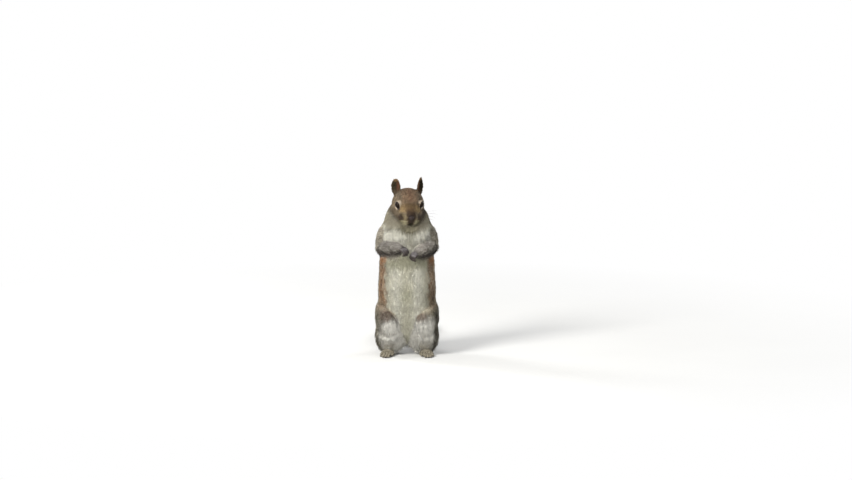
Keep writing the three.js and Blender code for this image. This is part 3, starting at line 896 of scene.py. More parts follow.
# painted shade on the cheek away from the key lamp
wash(side_of_face * (off_middle > 0) * 0.85, 48, 34, 24)
jaw = head * step(-19, -28, level) * step(3, 9, across)
wash(jaw * 0.8, 150, 144, 116)
bridge = head * band(level, -6.5, 2.0, 5.5) * step(19, 11, across)
wash(bridge * 0.65, 136, 110, 74)
wash(head * step(9, 4, across) * band(level, -6, 5, 4) * 0.45, 90, 68, 46)
wash(head * band(across, 11, 1.5, 4) * band(level, -8.5, 1.2, 4) * 0.5, 168, 144, 102)
half = (4.0 + 2.2 * hill(level, -16, 6)) * (1 - 0.5 * step(-22, -31, level))
snout = in_front * step(half + 2.8, half - 1.5, across) * step(-5.5, -13, level)
pad = in_front * band(across, 9.6, 2.0, 3.4) * band(level, -21.5, 4.5, 4.5)
pad *= np.where(off_middle > 0, 0.35 + 0.65 * step(-20, -25, level), 1)
wash(pad * 0.7, 132, 118, 88)
wash(head * band(across, 13.2, 1.5, 3.2) * band(level, -19.2, 2.2, 4.4) * 0.9, 50, 32, 18)
wash(snout * 0.92, 47, 33, 22)
wash(snout * step(-19, -10, level) * 0.45, 78, 57, 40)
lips = in_front * band(across, 9.5, 2.5, 2.5) * band(level, -26.5, 1.8, 2.5)
wash(lips * 0.65, 176, 170, 138)
wash(head * step(-25, -29, level) * step(4.5, 2, across) * 0.92, 34, 32, 10)  # chin
grizzle *= 1 - 0.8 * np.clip(jaw + bridge * 0.4 + pad + snout, 0, 1)
print("muzzle:", int((snout > 0.5).sum()), "points")

# %% Rings round the eyes, nose and mouth
for side in SIDES:
    reach, rim, upward, noseward = from_eye(co, side)
    near = reach < ROUND_EYE
    limit = 1.24 + 0.28 * np.abs(upward)
    ring = step(limit + 0.18, limit - 0.04, rim) * near
    ring *= step(EYE_RADIUS + 3.2 * MM, EYE_RADIUS + 1.4 * MM, reach)
    wash(ring * (0.92 - 0.66 * step(0.35, 0.85, noseward)), 212, 196, 176)
    grizzle *= 1 - ring
    wash(step(1.08, 1.03, rim) * near, 40, 30, 26)
    wash(band(rim, 1.75, 0.12, 0.15) * step(-0.2, -0.8, upward) * near * 0.5, 96, 72, 52)
wash(step(4.6, 3.4, np.linalg.norm(co - np.array(NOSE), axis=1) / MM), 54, 44, 40)
wash(mouth_depth(co) * head * 0.8, 46, 37, 33)

# %% Ears, with painted shade in the hollow, a pale rim along the top and a reddish inner edge
ears = part("ear")
wash(ears * 0.9, 88, 74, 50)
for which, sign in SIDES.items():
    low, high = (np.array(v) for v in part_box(f"ear_{which}"))
    mine = ears * (co[:, 0] * sign > 0)  # this ear's points
    up_ear = np.clip((co[:, 2] - low[2]) / (high[2] - low[2]), 0, 1)
    inward = (np.abs(co[:, 0]) - np.abs(low[0] + high[0]) / 2) / (high[0] - low[0])
    facing = mine * step(-0.2, 0.4, -normal[:, 1])
    # painted shade in the ear's hollow
    wash(facing * step(0.15, 0.35, up_ear) * step(0.93, 0.8, up_ear) * 0.85, 44, 38, 22)
    wash(facing * step(0.0, -0.25, inward) * step(0.9, 0.7, up_ear) * 0.65, 124, 76, 56)
    wash(mine * step(0.74, 0.92, up_ear) * 0.6, 160, 126, 88)
    wash(facing * step(0.3, 0.1, up_ear) * 0.6, 82, 60, 50)
grizzle *= 1 - ears * 0.6

# %% Shade under the jaw, and how white the tips are
FROST = {
    "head": 0.08, "neck": 0.5, "chest": 0.5, "belly": 0.45, "ear": 0.1, "upper_arm": 0.55,
    "forearm": 0.5, "hand": 0.1, "thigh": 0.45, "shin": 0.45, "foot": 0.1, "tail": 1.0,
}
under_jaw = 4 * head * (1 - head) * step(-78 * MM, -92 * MM, co[:, 1])
colour *= (1 - 0.32 * np.clip(under_jaw, 0, 1))[:, None]
colour = blended(colour, pairs, 1)
grizzle = np.clip(grizzle, 0, 1)
frost = sum(part(word) * level for word, level in FROST.items()) * (1 - front) * plain
frost = blended(np.maximum(part("tail"), frost), pairs, 10)
print("painted", len(colour), "points")

# %% [markdown]
# ## How long and how dense
# A squirrel's hair is a millimetre or two on the face and toes, close to a centimetre on the body,
# and several on the tail. The numbers below are for tufts of a few hairs each, so they stay few
# enough to handle and still read as fur.

# %% Length, width, rise and density of the tufts, part by part
COAT = {  # length, width and rise in mm, and tufts to a square millimetre
    "head": (3.1, 0.38, 0.62, 8.0),
    "neck": (7.5, 0.58, 2.4, 2.6),
    "chest": (8.5, 0.60, 2.7, 2.3),
    "belly": (8.5, 0.62, 2.9, 2.2),
    "ear": (2.2, 0.28, 0.42, 7.0),
    "upper_arm": (7.0, 0.58, 2.4, 2.7),
    "forearm": (5.5, 0.50, 2.0, 3.4),
    "hand": (1.3, 0.30, 0.2, 9.5),
    "thigh": (8.5, 0.64, 2.8, 2.3),
    "shin": (9.5, 0.64, 3.1, 2.4),
    "foot": (1.8, 0.36, 0.25, 5.0),
    "tail": (26.0, 0.95, 9.0, 4.6),
}

# %% The same at each point of the skin
table = np.array([by_part(kinds, {w: row[k] for w, row in COAT.items()}) for k in range(4)]).T
table[on_tail] = COAT["tail"]
length, width, rise, density = blended(table, pairs, 14).T * ((MM,), (MM,), (MM,), (1,))
muzzle = step(20, 6, (NOSE_AHEAD - head_co[:, 1]) / MM) * on_head
length *= 1 - 0.65 * muzzle
rise *= 1 - 0.75 * muzzle
width *= 1 - 0.35 * muzzle
hem = leg * step(56 * MM, 14 * MM, co[:, 2])
length *= 1 + 0.35 * hem
rise *= 1 + 0.1 * hem
overhang = step(0.05, -0.8, blended(normal[:, 2], pairs, 60))
rise += 1.5 * MM * hem * overhang * step(44 * MM, 20 * MM, co[:, 2])
paws = is_part(kinds, "hand", "foot")
bald = np.linalg.norm(co - np.array(NOSE), axis=1) < 2.9 * MM
bald |= (mouth_depth(co) > 0.6) | ((co[:, 2] < 1.2 * MM) & is_part(kinds, "foot"))  # and the soles
bald |= (np.linalg.norm(normal - blended(normal, pairs, 4), axis=1) > 0.65) & ~paws  # sharp folds
for side in SIDES:
    reach, rim, _, _ = from_eye(co, side)
    around = step(2.2, 1.2, rim) * (reach < ROUND_EYE)
    length *= 1 - 0.6 * around
    width *= 1 - 0.25 * around
    rise *= 1 - 0.5 * around
    bald |= (rim < 1.10) & (reach < EYE_RADIUS + 3 * MM)
density = np.where(bald, 0, density)
print("mean length", round(float(length.mean()) / MM, 1), "mm")

# %% [markdown]
# ## Growing tufts
# One tuft is a thin closed blade: a point under the skin, three edges where it is widest, and a point
# at its tip, six faces in all. It leaves the skin at a slant and bends over to lie along it.
# Thousands are made in one go as arrays. Neighbouring tips are drawn together a little, because real
# fur gathers into locks.

# %% Random places on the skin
face_list = []
for poly in shell.polygons:
    corner = list(poly.vertices)
    face_list += [(corner[0], corner[k], corner[k + 1]) for k in range(1, len(corner) - 1)]
TRIS = np.array(face_list)
edge_a = co[TRIS[:, 1]] - co[TRIS[:, 0]]
edge_b = co[TRIS[:, 2]] - co[TRIS[:, 0]]
AREAS = np.linalg.norm(np.cross(edge_a, edge_b), axis=1) / 2 / MM**2
FIELDS = {
    "co": co, "normal": normal, "flow": flow, "colour": colour, "grizzle": grizzle,
    "frost": frost, "length": length, "width": width, "rise": rise,
}


def roots(mask, draw):
    """Random places on the part of the skin under a mask, with every field there."""
    weight = AREAS * (density * mask)[TRIS].mean(1)
    count = int(weight.sum())
    chosen = np.searchsorted(np.cumsum(weight), draw.random(count) * weight.sum())
    chosen = np.minimum(chosen, len(TRIS) - 1)
    mix = np.sqrt(draw.random(count))
    other = draw.random(count)
    shares = np.stack([1 - mix, mix * (1 - other), mix * other], 1)
    return {key: np.einsum("nk,nk...->n...", shares, field[TRIS[chosen]])
            for key, field in FIELDS.items()}


print("skin area:", int(AREAS.sum() / 100), "square centimetres")

# %% Locks, layout and floor
LOCK = np.array((3.2, 3.2, 9.0)) * MM


def gathered(tips, cell, pull, draw):
    """Tips drawn towards the mean tip of their lock, and a random number for each lock.
    A cell is a lock's size along x, y and z."""
    warped = tips + 0.4 * cell * np.sin((tips / cell)[:, [1, 2, 0]] * 4.1)
    keys = np.floor(warped / cell).astype(np.int64)
    keys = keys[:, 0] * 73856093 ^ keys[:, 1] * 19349663 ^ keys[:, 2] * 83492791  # large primes
    _, lock = np.unique(keys, return_inverse=True)
    count = np.bincount(lock)
    mean = np.stack([np.bincount(lock, column) / count for column in tips.T], 1)[lock]
    return tips + pull * (mean - tips), draw.random(len(count))[lock]


def unwrapped(u, v):
    """Gives every tuft its own small square, keeping the order of places on the skin."""
    count = len(u)
    across = int(np.ceil(np.sqrt(count)))
    row, column = np.empty((2, count), dtype=np.int64)
    row[np.argsort(v, kind="stable")] = np.arange(count) // across
    column[np.lexsort((u, row))] = np.arange(count) % across
    return (column + 0.5) / across, (row + 0.5) / across


def off_the_floor(z):
    """Heights with everything under a millimetre eased up so that nothing is below the floor."""
    eased = 0.15 * MM + 0.85 * MM * np.exp(np.minimum(z / MM - 1, 0) / 0.85)
    return np.where(z < 1 * MM, eased, z)


# %% Blades as one mesh
PATCH = 0.003  # size of one tuft on the flat layout


def blade_mesh(name, verts, rings):
    """One closed blade for each row of points: a root, three points to a ring, and a tip."""
    count, per, _ = verts.shape
    loop = ((1, 2), (2, 3), (3, 1))
    faces = [(0, p, q) for p, q in loop]
    last = 3 * (rings - 1)
    for k in range(0, last, 3):
        for p, q in loop:
            p, q = p + k, q + k
            faces += [(p, p + 3, q), (q, p + 3, q + 3)]
    faces += [(p + last, per - 1, q + last) for p, q in loop]
    faces = (np.array(faces)[None] + (np.arange(count) * per)[:, None, None]).reshape(-1, 3)
    mesh = bpy.data.meshes.new(name)
    mesh.vertices.add(count * per)
    mesh.vertices.foreach_set("co", verts.ravel())
    mesh.loops.add(len(faces) * 3)
    mesh.loops.foreach_set("vertex_index", faces.ravel())
    mesh.polygons.add(len(faces))
    mesh.polygons.foreach_set("loop_start", np.arange(len(faces)) * 3)
    mesh.update(calc_edges=True)
    mesh.shade_smooth()
    return mesh, faces


def keep(mesh, name, values):
    """Stores one number or one colour for each point of a mesh."""
    if values.ndim == 1:
        mesh.attributes.new(name, "FLOAT", "POINT").data.foreach_set("value", values)
    else:
        rgba = np.concatenate([values, np.ones((len(values), 1))], 1)
        mesh.attributes.new(name, "FLOAT_COLOR", "POINT").data.foreach_set("color", rgba.ravel())


# %% The tuft maker


def blades(name, seed, mask, chart, rings=(0.36,), cell=LOCK, pull=0.3, tilt=0.16, aim=None):
    """One piece of coat: closed blades on the skin under the mask."""
    draw = np.random.default_rng(seed)
    at = roots(mask, draw)
    count = len(at["co"])
    spread = draw.normal(0, tilt, count)[:, None]
    n = unit(at["normal"])
    f = laid_flat(at["flow"], n)
    f = unit(f * np.cos(spread) + np.cross(n, f) * np.sin(spread))
    size = at["length"] * draw.uniform(0.6, 1.3, count)
    lift = at["rise"] * draw.uniform(0.5, 1.15, count)
    wide = at["width"] * draw.uniform(0.7, 1.25, count)
    tip = at["co"] + f * size[:, None] + n * lift[:, None]
    if aim is not None:
        tip = aim(at["co"], tip, draw)
        lift = ((tip - at["co"]) * n).sum(1)
    cell = cell * np.ones(3)
    tip, small_lock = gathered(tip, cell, pull, draw)
    tip, large_lock = gathered(tip, cell * 2.6, pull * 0.3, draw)
    tip[:, 2] = off_the_floor(tip[:, 2])
    tone = 0.3 * draw.random(count) + 0.4 * small_lock + 0.3 * large_lock
    tone = np.clip(0.5 + 1.7 * (tone - 0.5), 0, 1)

    run = tip - at["co"]
    run = run - n * (run * n).sum(1)[:, None]
    across = unit(np.cross(n, run))
    sink = 0.08 * MM + 0.08 * at["rise"]
    root, off = at["co"] - n * sink[:, None], lift + sink
    points, along, sideways = [root], [0.0], [0.0]
    for t in rings:
        midline = root + run * t + n * (off * (2 * t - t * t))[:, None]
        half = (wide * 0.5 * (1.35 - 0.95 * t))[:, None]
        points += [midline - across * half, midline + n * (half * 0.6), midline + across * half]
        along += [t, t - 0.07, t]
        sideways += [-0.5, 0.0, 0.5]
    points.append(root + run + n * off[:, None])
    along, sideways = np.array([*along, 1.0]), np.array([*sideways, 0.0])
    per = len(points)
    verts = np.stack(points, 1)
    verts[..., 2] = off_the_floor(verts[..., 2])
    mesh, faces = blade_mesh(name, verts, len(rings))

    u, v = unwrapped(*chart(at["co"]))
    spot_u = u[:, None] + sideways[None] * PATCH
    spot_v = v[:, None] + (along[None] - 0.5) * PATCH
    uv = np.stack([spot_u, spot_v], 2).reshape(-1, 2)[faces.ravel()]
    mesh.uv_layers.new(name="OFBake").data.foreach_set("uv", uv.ravel())
    keep(mesh, "fur_colour", np.repeat(at["colour"], per, axis=0))
    keep(mesh, "along", np.tile(np.clip(along, 0, 1), count))
    keep(mesh, "tone", np.repeat(tone, per))
    for key in ("grizzle", "frost"):
        keep(mesh, key, np.repeat(at[key], per))
    print(f"{name}: {count} tufts, {len(faces)} triangles")
    return piece(name, mesh, FUR)


# %% [markdown]
# ## Fur colour
# Each hair of a grey squirrel is banded: dark at the root, then buff, then black, with a pale tip.
# That is why the coat looks peppered. The shader repeats this along each tuft by the stored distance
# from root to tip, and only where the grizzle number asks for it, so the white belly stays plain.

# %% Helpers for materials


def new_material(name, roughness, specular=0.5):
    """A plain material and its shader's sockets. The helpers below add nodes to the newest one."""
    global tree
    made = bpy.data.materials.new(name)
    made.use_nodes = True
    tree = made.node_tree
    shader = tree.nodes["Principled BSDF"].inputs
    feed(shader["Roughness"], roughness)
    feed(shader["Specular IOR Level"], specular)
    return made, shader


def feed(socket, value):
    """Gives a socket a number or a colour, or links another node's output to it."""
    if isinstance(value, bpy.types.NodeSocket):
        tree.links.new(value, socket)
    else:
        socket.default_value = value if isinstance(value, (int, float)) else (*value, 1)


def node(kind, output, feeds=(), **settings):
    """Adds a node, feeds its sockets, given by name or number, and returns one output."""
    made = tree.nodes.new("ShaderNode" + kind)
    for key, value in settings.items():
        setattr(made, key, value)
    for key, value in dict(feeds).items():
        named = (s for s in made.inputs if s.name == key and s.enabled)
        feed(made.inputs[key] if isinstance(key, int) else next(named), value)
    return next(s for s in made.outputs if s.name == output and s.enabled)


# %% Sums, mixes and ramps


def times(a, b):
    return node("Math", "Value", {0: a, 1: b}, operation="MULTIPLY")


def plus(a, b):
    return node("Math", "Value", {0: a, 1: b}, operation="ADD")


def attribute(name, output="Fac"):
    return node("Attribute", output, attribute_name=name)


def mixed(share, a, b, blend="MIX"):
    feeds = {"Factor": share, "A": a, "B": b}
    return node("Mix", "Result", feeds, data_type="RGBA", blend_type=blend)


def ramp(value, *stops):
    """Grey levels along a value."""
    made = tree.nodes.new("ShaderNodeValToRGB")
    elements = made.color_ramp.elements
    while len(elements) < len(stops):
        elements.new(0.5)
    for element, (place, level) in zip(elements, stops):
        element.position = place
        element.color = (level, level, level, 1)
    feed(made.inputs["Fac"], value)
    return made.outputs["Color"]


# %% Bumps and mottled materials


def bump(shader, height, strength, distance):
    feeds = {"Height": height, "Strength": strength, "Distance": distance}
    feed(shader["Normal"], node("Bump", "Normal", feeds))


def mottled(name, scale, a, b, roughness, specular=0.5, pattern="TexNoise", output="Fac"):
    """A material of two colours, mixed by a pattern that keeps still on the object."""
    made, shader = new_material(name, roughness, specular)
    spread = node(pattern, output, {"Vector": node("TexCoord", "Object"), "Scale": scale})
    feed(shader["Base Color"], mixed(spread, a, b))
    return made, shader, spread


# %% Fur
FUR, fur = new_material("squirrel_fur", 0.8, 0.2)
along, tone, base = attribute("along"), attribute("tone"), attribute("fur_colour", "Color")
amount, white_tip = attribute("grizzle"), attribute("frost")
shifted = plus(along, times(plus(tone, -0.5), 0.16))
bands = ramp(shifted, (0.0, 0.62), (0.3, 0.88), (0.55, 1.12), (0.72, 0.72), (0.86, 1.3), (1.0, 1.5))
# plain hair darkens towards the root: partly the underfur's own grey, partly painted shade between the
# tufts
plain_hair = ramp(along, (0.0, 0.86), (0.4, 0.98), (1.0, 1.03))
banded = mixed(1.0, base, mixed(amount, plain_hair, bands), "MULTIPLY")
dark_band = ramp(shifted, (0.48, 0), (0.6, 1), (0.74, 1), (0.8, 0))
banded = mixed(times(times(dark_band, white_tip), 0.85), banded, linear(58, 50, 42))
pale_end = ramp(shifted, (0.78, 0), (0.88, 1))
banded = mixed(times(times(pale_end, white_tip), 0.85), banded, linear(222, 219, 208))
level = plus(times(tone, plus(times(amount, 0.72), 0.26)), plus(times(amount, -0.33), 0.90))
feed(fur["Base Color"], node("HueSaturation", "Color", {"Color": banded, "Value": level}))
print("nodes in the fur:", len(tree.nodes))

# %% Skin
SKIN, skin = new_material("squirrel_skin", 0.7, 0.3)
feeds = {"Vector": node("TexCoord", "Object"), "Scale": 1400, "Detail": 3}
speckle = node("TexNoise", "Fac", feeds)
light_dark = ramp(speckle, (0.3, 0.8), (0.7, 1.05))
feed(skin["Base Color"], mixed(1.0, attribute("fur_colour", "Color"), light_dark, "MULTIPLY"))
bump(skin, speckle, 0.5, 0.3 * MM)
print("nodes in the skin:", len(tree.nodes))

# %% [markdown]
# ## A lighter skin
# The fine faces matter on the face, ears, hands and feet. Under the long coat nobody sees them, so
# a decimate modifier thins them there, held off the fine parts by a vertex group.

# %% Finish the skin
SKIN_FACES = 180000
keep(shell, "fur_colour", colour)
full_skin = piece("full_skin", shell)
bare = paws | on_ear | (on_head & (head_co[:, 1] > -12 * MM))
covered = blended(~bare, pairs, 4)
group = full_skin.vertex_groups.new(name="covered")
for level in (0.25, 0.5, 0.75, 1.0):
    chosen = np.flatnonzero((covered > level - 0.25) & (covered <= level))
    group.add(chosen.tolist(), level, "REPLACE")
thin = full_skin.modifiers.new("Thin", "DECIMATE")
thin.ratio = SKIN_FACES / len(TRIS)
thin.vertex_group = "covered"
thin.use_collapse_triangulate = True
skin_mesh = worked_in(full_skin)
skin_mesh.name = "squirrel_skin"
skin_mesh.shade_smooth()
skin_piece = piece("squirrel_skin", skin_mesh, SKIN)
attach(skin_piece, "root")
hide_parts(*FLESH, *TAIL_NODES)
print("skin:", len(skin_mesh.polygons), "faces, from", len(TRIS))

# %% [markdown]
# ## The coat, region by region
# The coat is split into pieces the way a taxidermist would name them. Each piece is laid out flat by
# wrapping round its own axis, the trunk's, the limb's or the tail's, so that tufts that are
# neighbours on the body stay neighbours on the layout.

# %% Flat layouts


def round_axis(centre, facing):
    """A layout that unrolls the skin round an upright line, seamed opposite the facing angle."""
    def chart(co):
        angle = np.arctan2(co[:, 0] - centre[0], -(co[:, 1] - centre[1])) - math.radians(facing)
        return (angle + math.pi) % (2 * math.pi), co[:, 2]
    return chart


def round_head(co):
    """Unrolls the head round the line from its back to the nose."""
    a, b, c = in_head(co).T
    return np.arctan2(a, c + 6 * MM), -b


def round_tail(co):
    """Unrolls the tail round its own line."""
    k = nearest_on_tail(co)
    off = co - TAIL_POINTS[k]
    return np.arctan2(off[:, 2], off[:, 0]), k + np.zeros(len(co))


def round_arms(co):
    """Unrolls both arms round the line from shoulder to hand, one far beside the other."""
    start, end = np.array((30, -101, 190)) * MM, np.array((8, -146, 150)) * MM
    run = (end - start) / np.linalg.norm(end - start)
    off = np.stack([np.abs(co[:, 0]), co[:, 1], co[:, 2]], 1) - start
    turn = np.arctan2(off[:, 0], off[:, 2] + off[:, 1]) + math.pi
    return turn + np.sign(co[:, 0]) * 10, off @ run


# %% Regions of the coat
height, forth = co[:, 2], co[:, 1]
trunk = is_part(kinds, "chest", "belly", "neck")
trunk_line = (0, -88 * MM)
front_half = forth < trunk_line[1]
BREAST_FROM, MANTLE_FROM = 140 * MM, 125 * MM
leg = is_part(kinds, "thigh", "shin", "foot") & ~on_tail
ahead_of_ears = head_co[:, 1] > -3 * MM
left_half = co[:, 0] > 0
FIRST_SEED = 20
coats = {}


def coat(name, mask, chart, slot, **more):
    """Grows one region's tufts, and hands the piece over to the frame."""
    seed = FIRST_SEED + len(coats)
    made = blades("coat_" + name, seed, np.asarray(mask, dtype=float), chart, **more)
    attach(made, "root")
    coats[name] = made


# %% Coat on head, trunk and limbs
coat("face", on_head & ahead_of_ears, round_head, "brown_fur", cell=1.5 * MM)
coat("crown", (on_head & ~ahead_of_ears) | on_ear, round_head, "brown_fur", cell=1.6 * MM)
coat("breast", trunk & front_half & (height > BREAST_FROM), round_axis(trunk_line, 0), "white_fur")
coat("belly", trunk & front_half & (height <= BREAST_FROM), round_axis(trunk_line, 0), "white_fur")
coat("mantle", trunk & ~front_half & (height > MANTLE_FROM) & ~on_tail,
     round_axis(trunk_line, 180), "grey_fur")
tail_share = nearest_on_tail(co) / (len(TAIL_POINTS) - 1)
tail_root = on_tail & (tail_share < 0.10)
rump = trunk & ~front_half & (height <= MANTLE_FROM) & ~on_tail
coat("rump", rump | tail_root, round_axis(trunk_line, 180), "grey_fur")
coat("arms", is_part(kinds, "upper_arm", "forearm", "hand"), round_arms, "grey_fur",
     cell=np.array((7.5, 3, 3)) * MM)
for side in SIDES:
    half = left_half if side == "left" else ~left_half
    coat(f"leg_{side}", leg & half, round_axis((SIDES[side] * 26 * MM, -92 * MM), 0), "grey_fur")

# %% [markdown]
# ## The brush
# The tail's hairs are as long as a finger joint. They spread to both sides like the barbs of a
# feather, lie back towards the tip, and stay flat enough for the tail to rest on the floor.

# %% Coat on the tail
top_of_tail = max(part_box(n)[1][2] for n in TAIL_NODES)


def into_brush(root, tip, draw):
    """Aims tail tips at the sides of the brush and keeps them above the floor."""
    k = nearest_on_tail(root)
    run = TAIL_RUN[k]
    across = unit(np.cross(run, np.array([0, 0, 1.0])))
    share = k / (len(TAIL_POINTS) - 1)
    off = unit(root - TAIL_POINTS[k])
    left_right, up_down = (off * across).sum(1), off[:, 2]
    half = (TAIL_REACH[k] - 3 * MM) * draw.uniform(0.45, 1.08, len(root)) ** 0.8
    high = (10 + 3 * step(0.1, 0.4, share)) * MM * draw.uniform(0.4, 1.0, len(root))
    forward = (14 + 10 * share) * MM * draw.uniform(0.6, 1.25, len(root))
    closing = step(0.86, 1.0, share)
    half = half * (1 - closing * draw.uniform(0.2, 0.95, len(root)))
    high = high * (1 - closing * draw.uniform(0.2, 0.95, len(root)))
    forward = forward * (1 + 0.25 * closing)
    aimed = TAIL_POINTS[k] + across * (left_right * half)[:, None] + run * forward[:, None]
    aimed += across * draw.normal(0, 1.5 * MM, len(root))[:, None]
    aimed[:, 2] += up_down * high
    aimed[:, 2] = np.clip(aimed[:, 2], draw.uniform(0.5, 2.5, len(root)) * MM, top_of_tail)
    return aimed


for name, half in (("tail_near", tail_share <= 0.5), ("tail_far", tail_share > 0.5)):
    coat(name, on_tail & half, round_tail, "grey_fur", rings=(0.25, 0.62),
         cell=np.array((3.4, 8, 3.4)) * MM, aim=into_brush)
print("pieces of coat:", len(coats))

# %% [markdown]
# ## Eyes
# The eye of a squirrel shows almost no white: it is a dark brown ball with a black pupil under a wet
# cornea. A smooth glossy sphere gives the one sharp highlight that makes it look alive.

# %% Eyeballs
EYE, *_ = mottled("dark_eye", 500, (0.006, 0.003, 0.002), (0.016, 0.009, 0.005), 0.08, 0.1)
for side in SIDES:
    ball = bmesh.new()
    turn = Vector(eye_axes(side)[0]).to_track_quat("Z", "Y").to_matrix().to_4x4()
    turn.translation = EYES[side]
    bmesh.ops.create_uvsphere(ball, u_segments=40, v_segments=24, radius=EYE_RADIUS - 0.05 * MM,
                              matrix=turn)
    eyeball = smooth_piece(f"eyeball_{side}", ball, EYE)
    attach(eyeball, "root")
    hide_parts(f"eye_{side}")
print("eyeballs:", round(EYE_RADIUS * 2 / MM, 1), "mm across")

# %% [markdown]
# ## Nose, claws and whiskers
# The nose pad is bare, dark and pebbly with two comma-shaped nostrils. Claws are curved horn. The
# solid ones look square beside the finished digits, so thin rods to the same points replace them.
# Whiskers are stiff tapering hairs, so each is a thin closed cone bent along a curve.

# %% Nose pad
NOSE_SKIN, nose, pebbles = mottled("nose_skin", 1800, linear(60, 48, 46), linear(38, 30, 28),
                                   0.55, 0.3, "TexVoronoi", "Distance")
bump(nose, pebbles, 0.35, 0.15 * MM)
pad = bmesh.new()
bmesh.ops.create_uvsphere(pad, u_segments=56, v_segments=40, radius=1)
shape = np.array([v.co for v in pad.verts])
shape[:, 0] *= 0.62 + 0.38 * step(-0.8, 0.25, shape[:, 2])
shape *= (3.4, 2.7, 2.6)
for sign in SIDES.values():
    aside, above = sign * shape[:, 0] - 1.95, shape[:, 2] + 0.15
    curl = above - 0.45 * np.maximum(aside, 0) ** 1.2 + 0.25 * aside
    hole = hill(aside, 0, 0.72) * hill(curl, 0, 0.42) * (shape[:, 1] > 0)
    shape[:, 1] -= 1.3 * hole
cleft = hill(shape[:, 0], 0, 0.22) * step(0.4, -0.8, shape[:, 2]) * (shape[:, 1] > 0)
shape[:, 1] -= 0.45 * cleft
for vert, place in zip(pad.verts, shape @ HEAD_AXES * MM + np.array(NOSE + FORWARD * 0.1 * MM)):
    vert.co = place
nose_pad = smooth_piece("nose_pad", pad, NOSE_SKIN)
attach(nose_pad, "root")
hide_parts("nose")
print("nose pad:", len(nose_pad.data.polygons), "faces")

# %% Claws
HORN, *_ = mottled("claw_horn", 900, linear(40, 34, 30), linear(88, 76, 64), 0.35)
claws = 0
for limb, lines in DIGITS.items():
    for k, line in enumerate(lines):
        solid = f"claw_{limb}_{k + 1}"
        around = np.array([v.co for v in nodes[solid].data.vertices])
        far = np.linalg.norm(around - line[-1], axis=1)
        point = around[far > far.max() - 0.5 * MM].mean(0)
        path = smooth_line(np.array([line[-1], (around.mean(0) * 1.6 + point * 0.4) / 2, point]), 9)
        radii = np.interp(np.linspace(0, 1, 9), [0, 0.3, 1], [0.9, 0.78, 0.09]) * MM
        claw = smooth_piece(f"horn_{limb}_{k + 1}", sweep_rod(path, radii, 10), HORN)
        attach(claw, "root")
        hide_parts(solid)
        claws += 1
print("claws:", claws)

# %% Whiskers
WHISKER, *_ = mottled("whisker_hair", 300, linear(30, 26, 24), linear(70, 62, 54), 0.4)
chance = np.random.default_rng(7)
all_whiskers = bmesh.new()
skin_tree = BVHTree.FromPolygons([Vector(p) for p in co], [list(t) for t in TRIS])
for side, sign in SIDES.items():
    for row in range(3):
        for k in range(4):
            back = (5.5 + 2.3 * k + 0.8 * row) * MM
            start = BROW + FORWARD * (NOSE_AHEAD - back) + HEADUP * (-3.2 - 1.5 * row) * MM
            start += SIDEWAYS * sign * 14 * MM
            hit, _, _, _ = skin_tree.ray_cast(start, -SIDEWAYS * sign)
            if hit is None:
                continue
            long = (16 + 4.5 * k + chance.uniform(-2, 2)) * MM
            aim = SIDEWAYS * sign * 0.9 + FORWARD * (0.18 - 0.15 * k) + HEADUP * (0.16 - 0.22 * row)
            aim.normalize()
            sag = Vector((0, 0, -1)) * (0.16 * long)
            line = [hit - aim * 0.6 * MM + aim * long * t + sag * t * t for t in np.linspace(0, 1, 9)]
            radii = np.linspace(0.10, 0.03, 9) * MM
            put_in(all_whiskers, sweep_rod(np.array(line), radii, 5))
whiskers = smooth_piece("whiskers", all_whiskers, WHISKER)
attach(whiskers, "root")
print("whiskers:", len(whiskers.data.polygons), "faces")

# %% [markdown]
# ## Stage, light and camera
# A pale floor and backdrop, a large soft lamp up on the animal's right, and a weaker one on its left.
# The camera is a long lens from nine metres away, slightly above, the way shy animals are pictured.

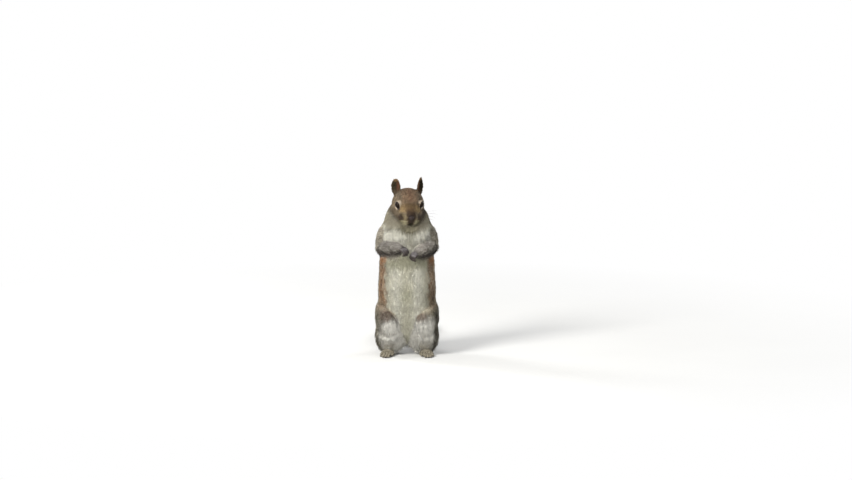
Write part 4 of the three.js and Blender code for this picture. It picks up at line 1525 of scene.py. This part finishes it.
# %% Floor and backdrop
FLOOR, *_ = mottled("pale_floor", 6, (0.80, 0.80, 0.79), (0.84, 0.84, 0.83), 0.9)
span = node("VectorMath", "Value", {0: node("TexCoord", "Object")}, operation="LENGTH")
fade = node("MapRange", "Result", {"Value": span, "From Min": 0.35, "From Max": 0.85})
seen = times(fade, node("LightPath", "Is Camera Ray"))
shaded, white = tree.nodes["Principled BSDF"].outputs["BSDF"], node("Emission", "Emission")
feed(tree.nodes["Material Output"].inputs["Surface"],
     node("MixShader", "Shader", {"Fac": seen, 1: shaded, 2: white}))
ground = bmesh.new()
bmesh.ops.create_circle(ground, cap_ends=True, segments=64, radius=1.0)
floor = smooth_piece("floor", ground, FLOOR)

# %% Lamps


def lamp(name, place, size, power, tint=(1, 1, 1)):
    """A round area lamp that looks at the middle of the animal."""
    light = bpy.data.lights.new(name, "AREA")
    light.shape = "DISK"
    light.size = size
    light.energy = power
    light.color = tint
    made = bpy.data.objects.new(name, light)
    scene.collection.objects.link(made)
    made.location = place
    made.rotation_euler = (CENTRE - Vector(place)).to_track_quat("-Z", "Y").to_euler()


CENTRE = Vector((0, -0.09, 0.14))
lamp("key", (-1.0, -1.3, 1.0), 0.7, 36, (1.0, 0.985, 0.95))
lamp("fill", (1.2, -1.0, 0.6), 1.0, 2, (0.95, 0.98, 1.0))
lamp("rim_right", (-1.3, 0.9, 0.9), 0.6, 12)
lamp("rim_left", (1.3, 0.9, 0.9), 0.6, 8)

# %% Sky
world = bpy.data.worlds.new("sky")
scene.world = world
world.use_nodes = True
tree = world.node_tree
sky = tree.nodes["Background"].inputs
feed(sky["Color"], (1, 1, 1))
feed(sky["Strength"], plus(times(node("LightPath", "Is Camera Ray"), 0.5), 0.5))

# %% Camera
TILT = math.radians(8)
DISTANCE = 9  # metres
picture_up = Vector((0, math.sin(TILT), math.cos(TILT)))
aim = Vector((27.5, -94.9, 0)) * MM + picture_up * 0.165
lens = bpy.data.cameras.new("camera")
lens.lens = 262
lens.sensor_width = 36
lens.clip_end = 120
camera = bpy.data.objects.new("camera", lens)
scene.collection.objects.link(camera)
camera.location = aim + DISTANCE * Vector((0, -math.cos(TILT), math.sin(TILT)))
camera.rotation_euler = (aim - camera.location).to_track_quat("-Z", "Y").to_euler()
scene.camera = camera
scene.view_settings.view_transform = "Standard"

# %% Bring the scene up to date
bpy.context.view_layer.update()
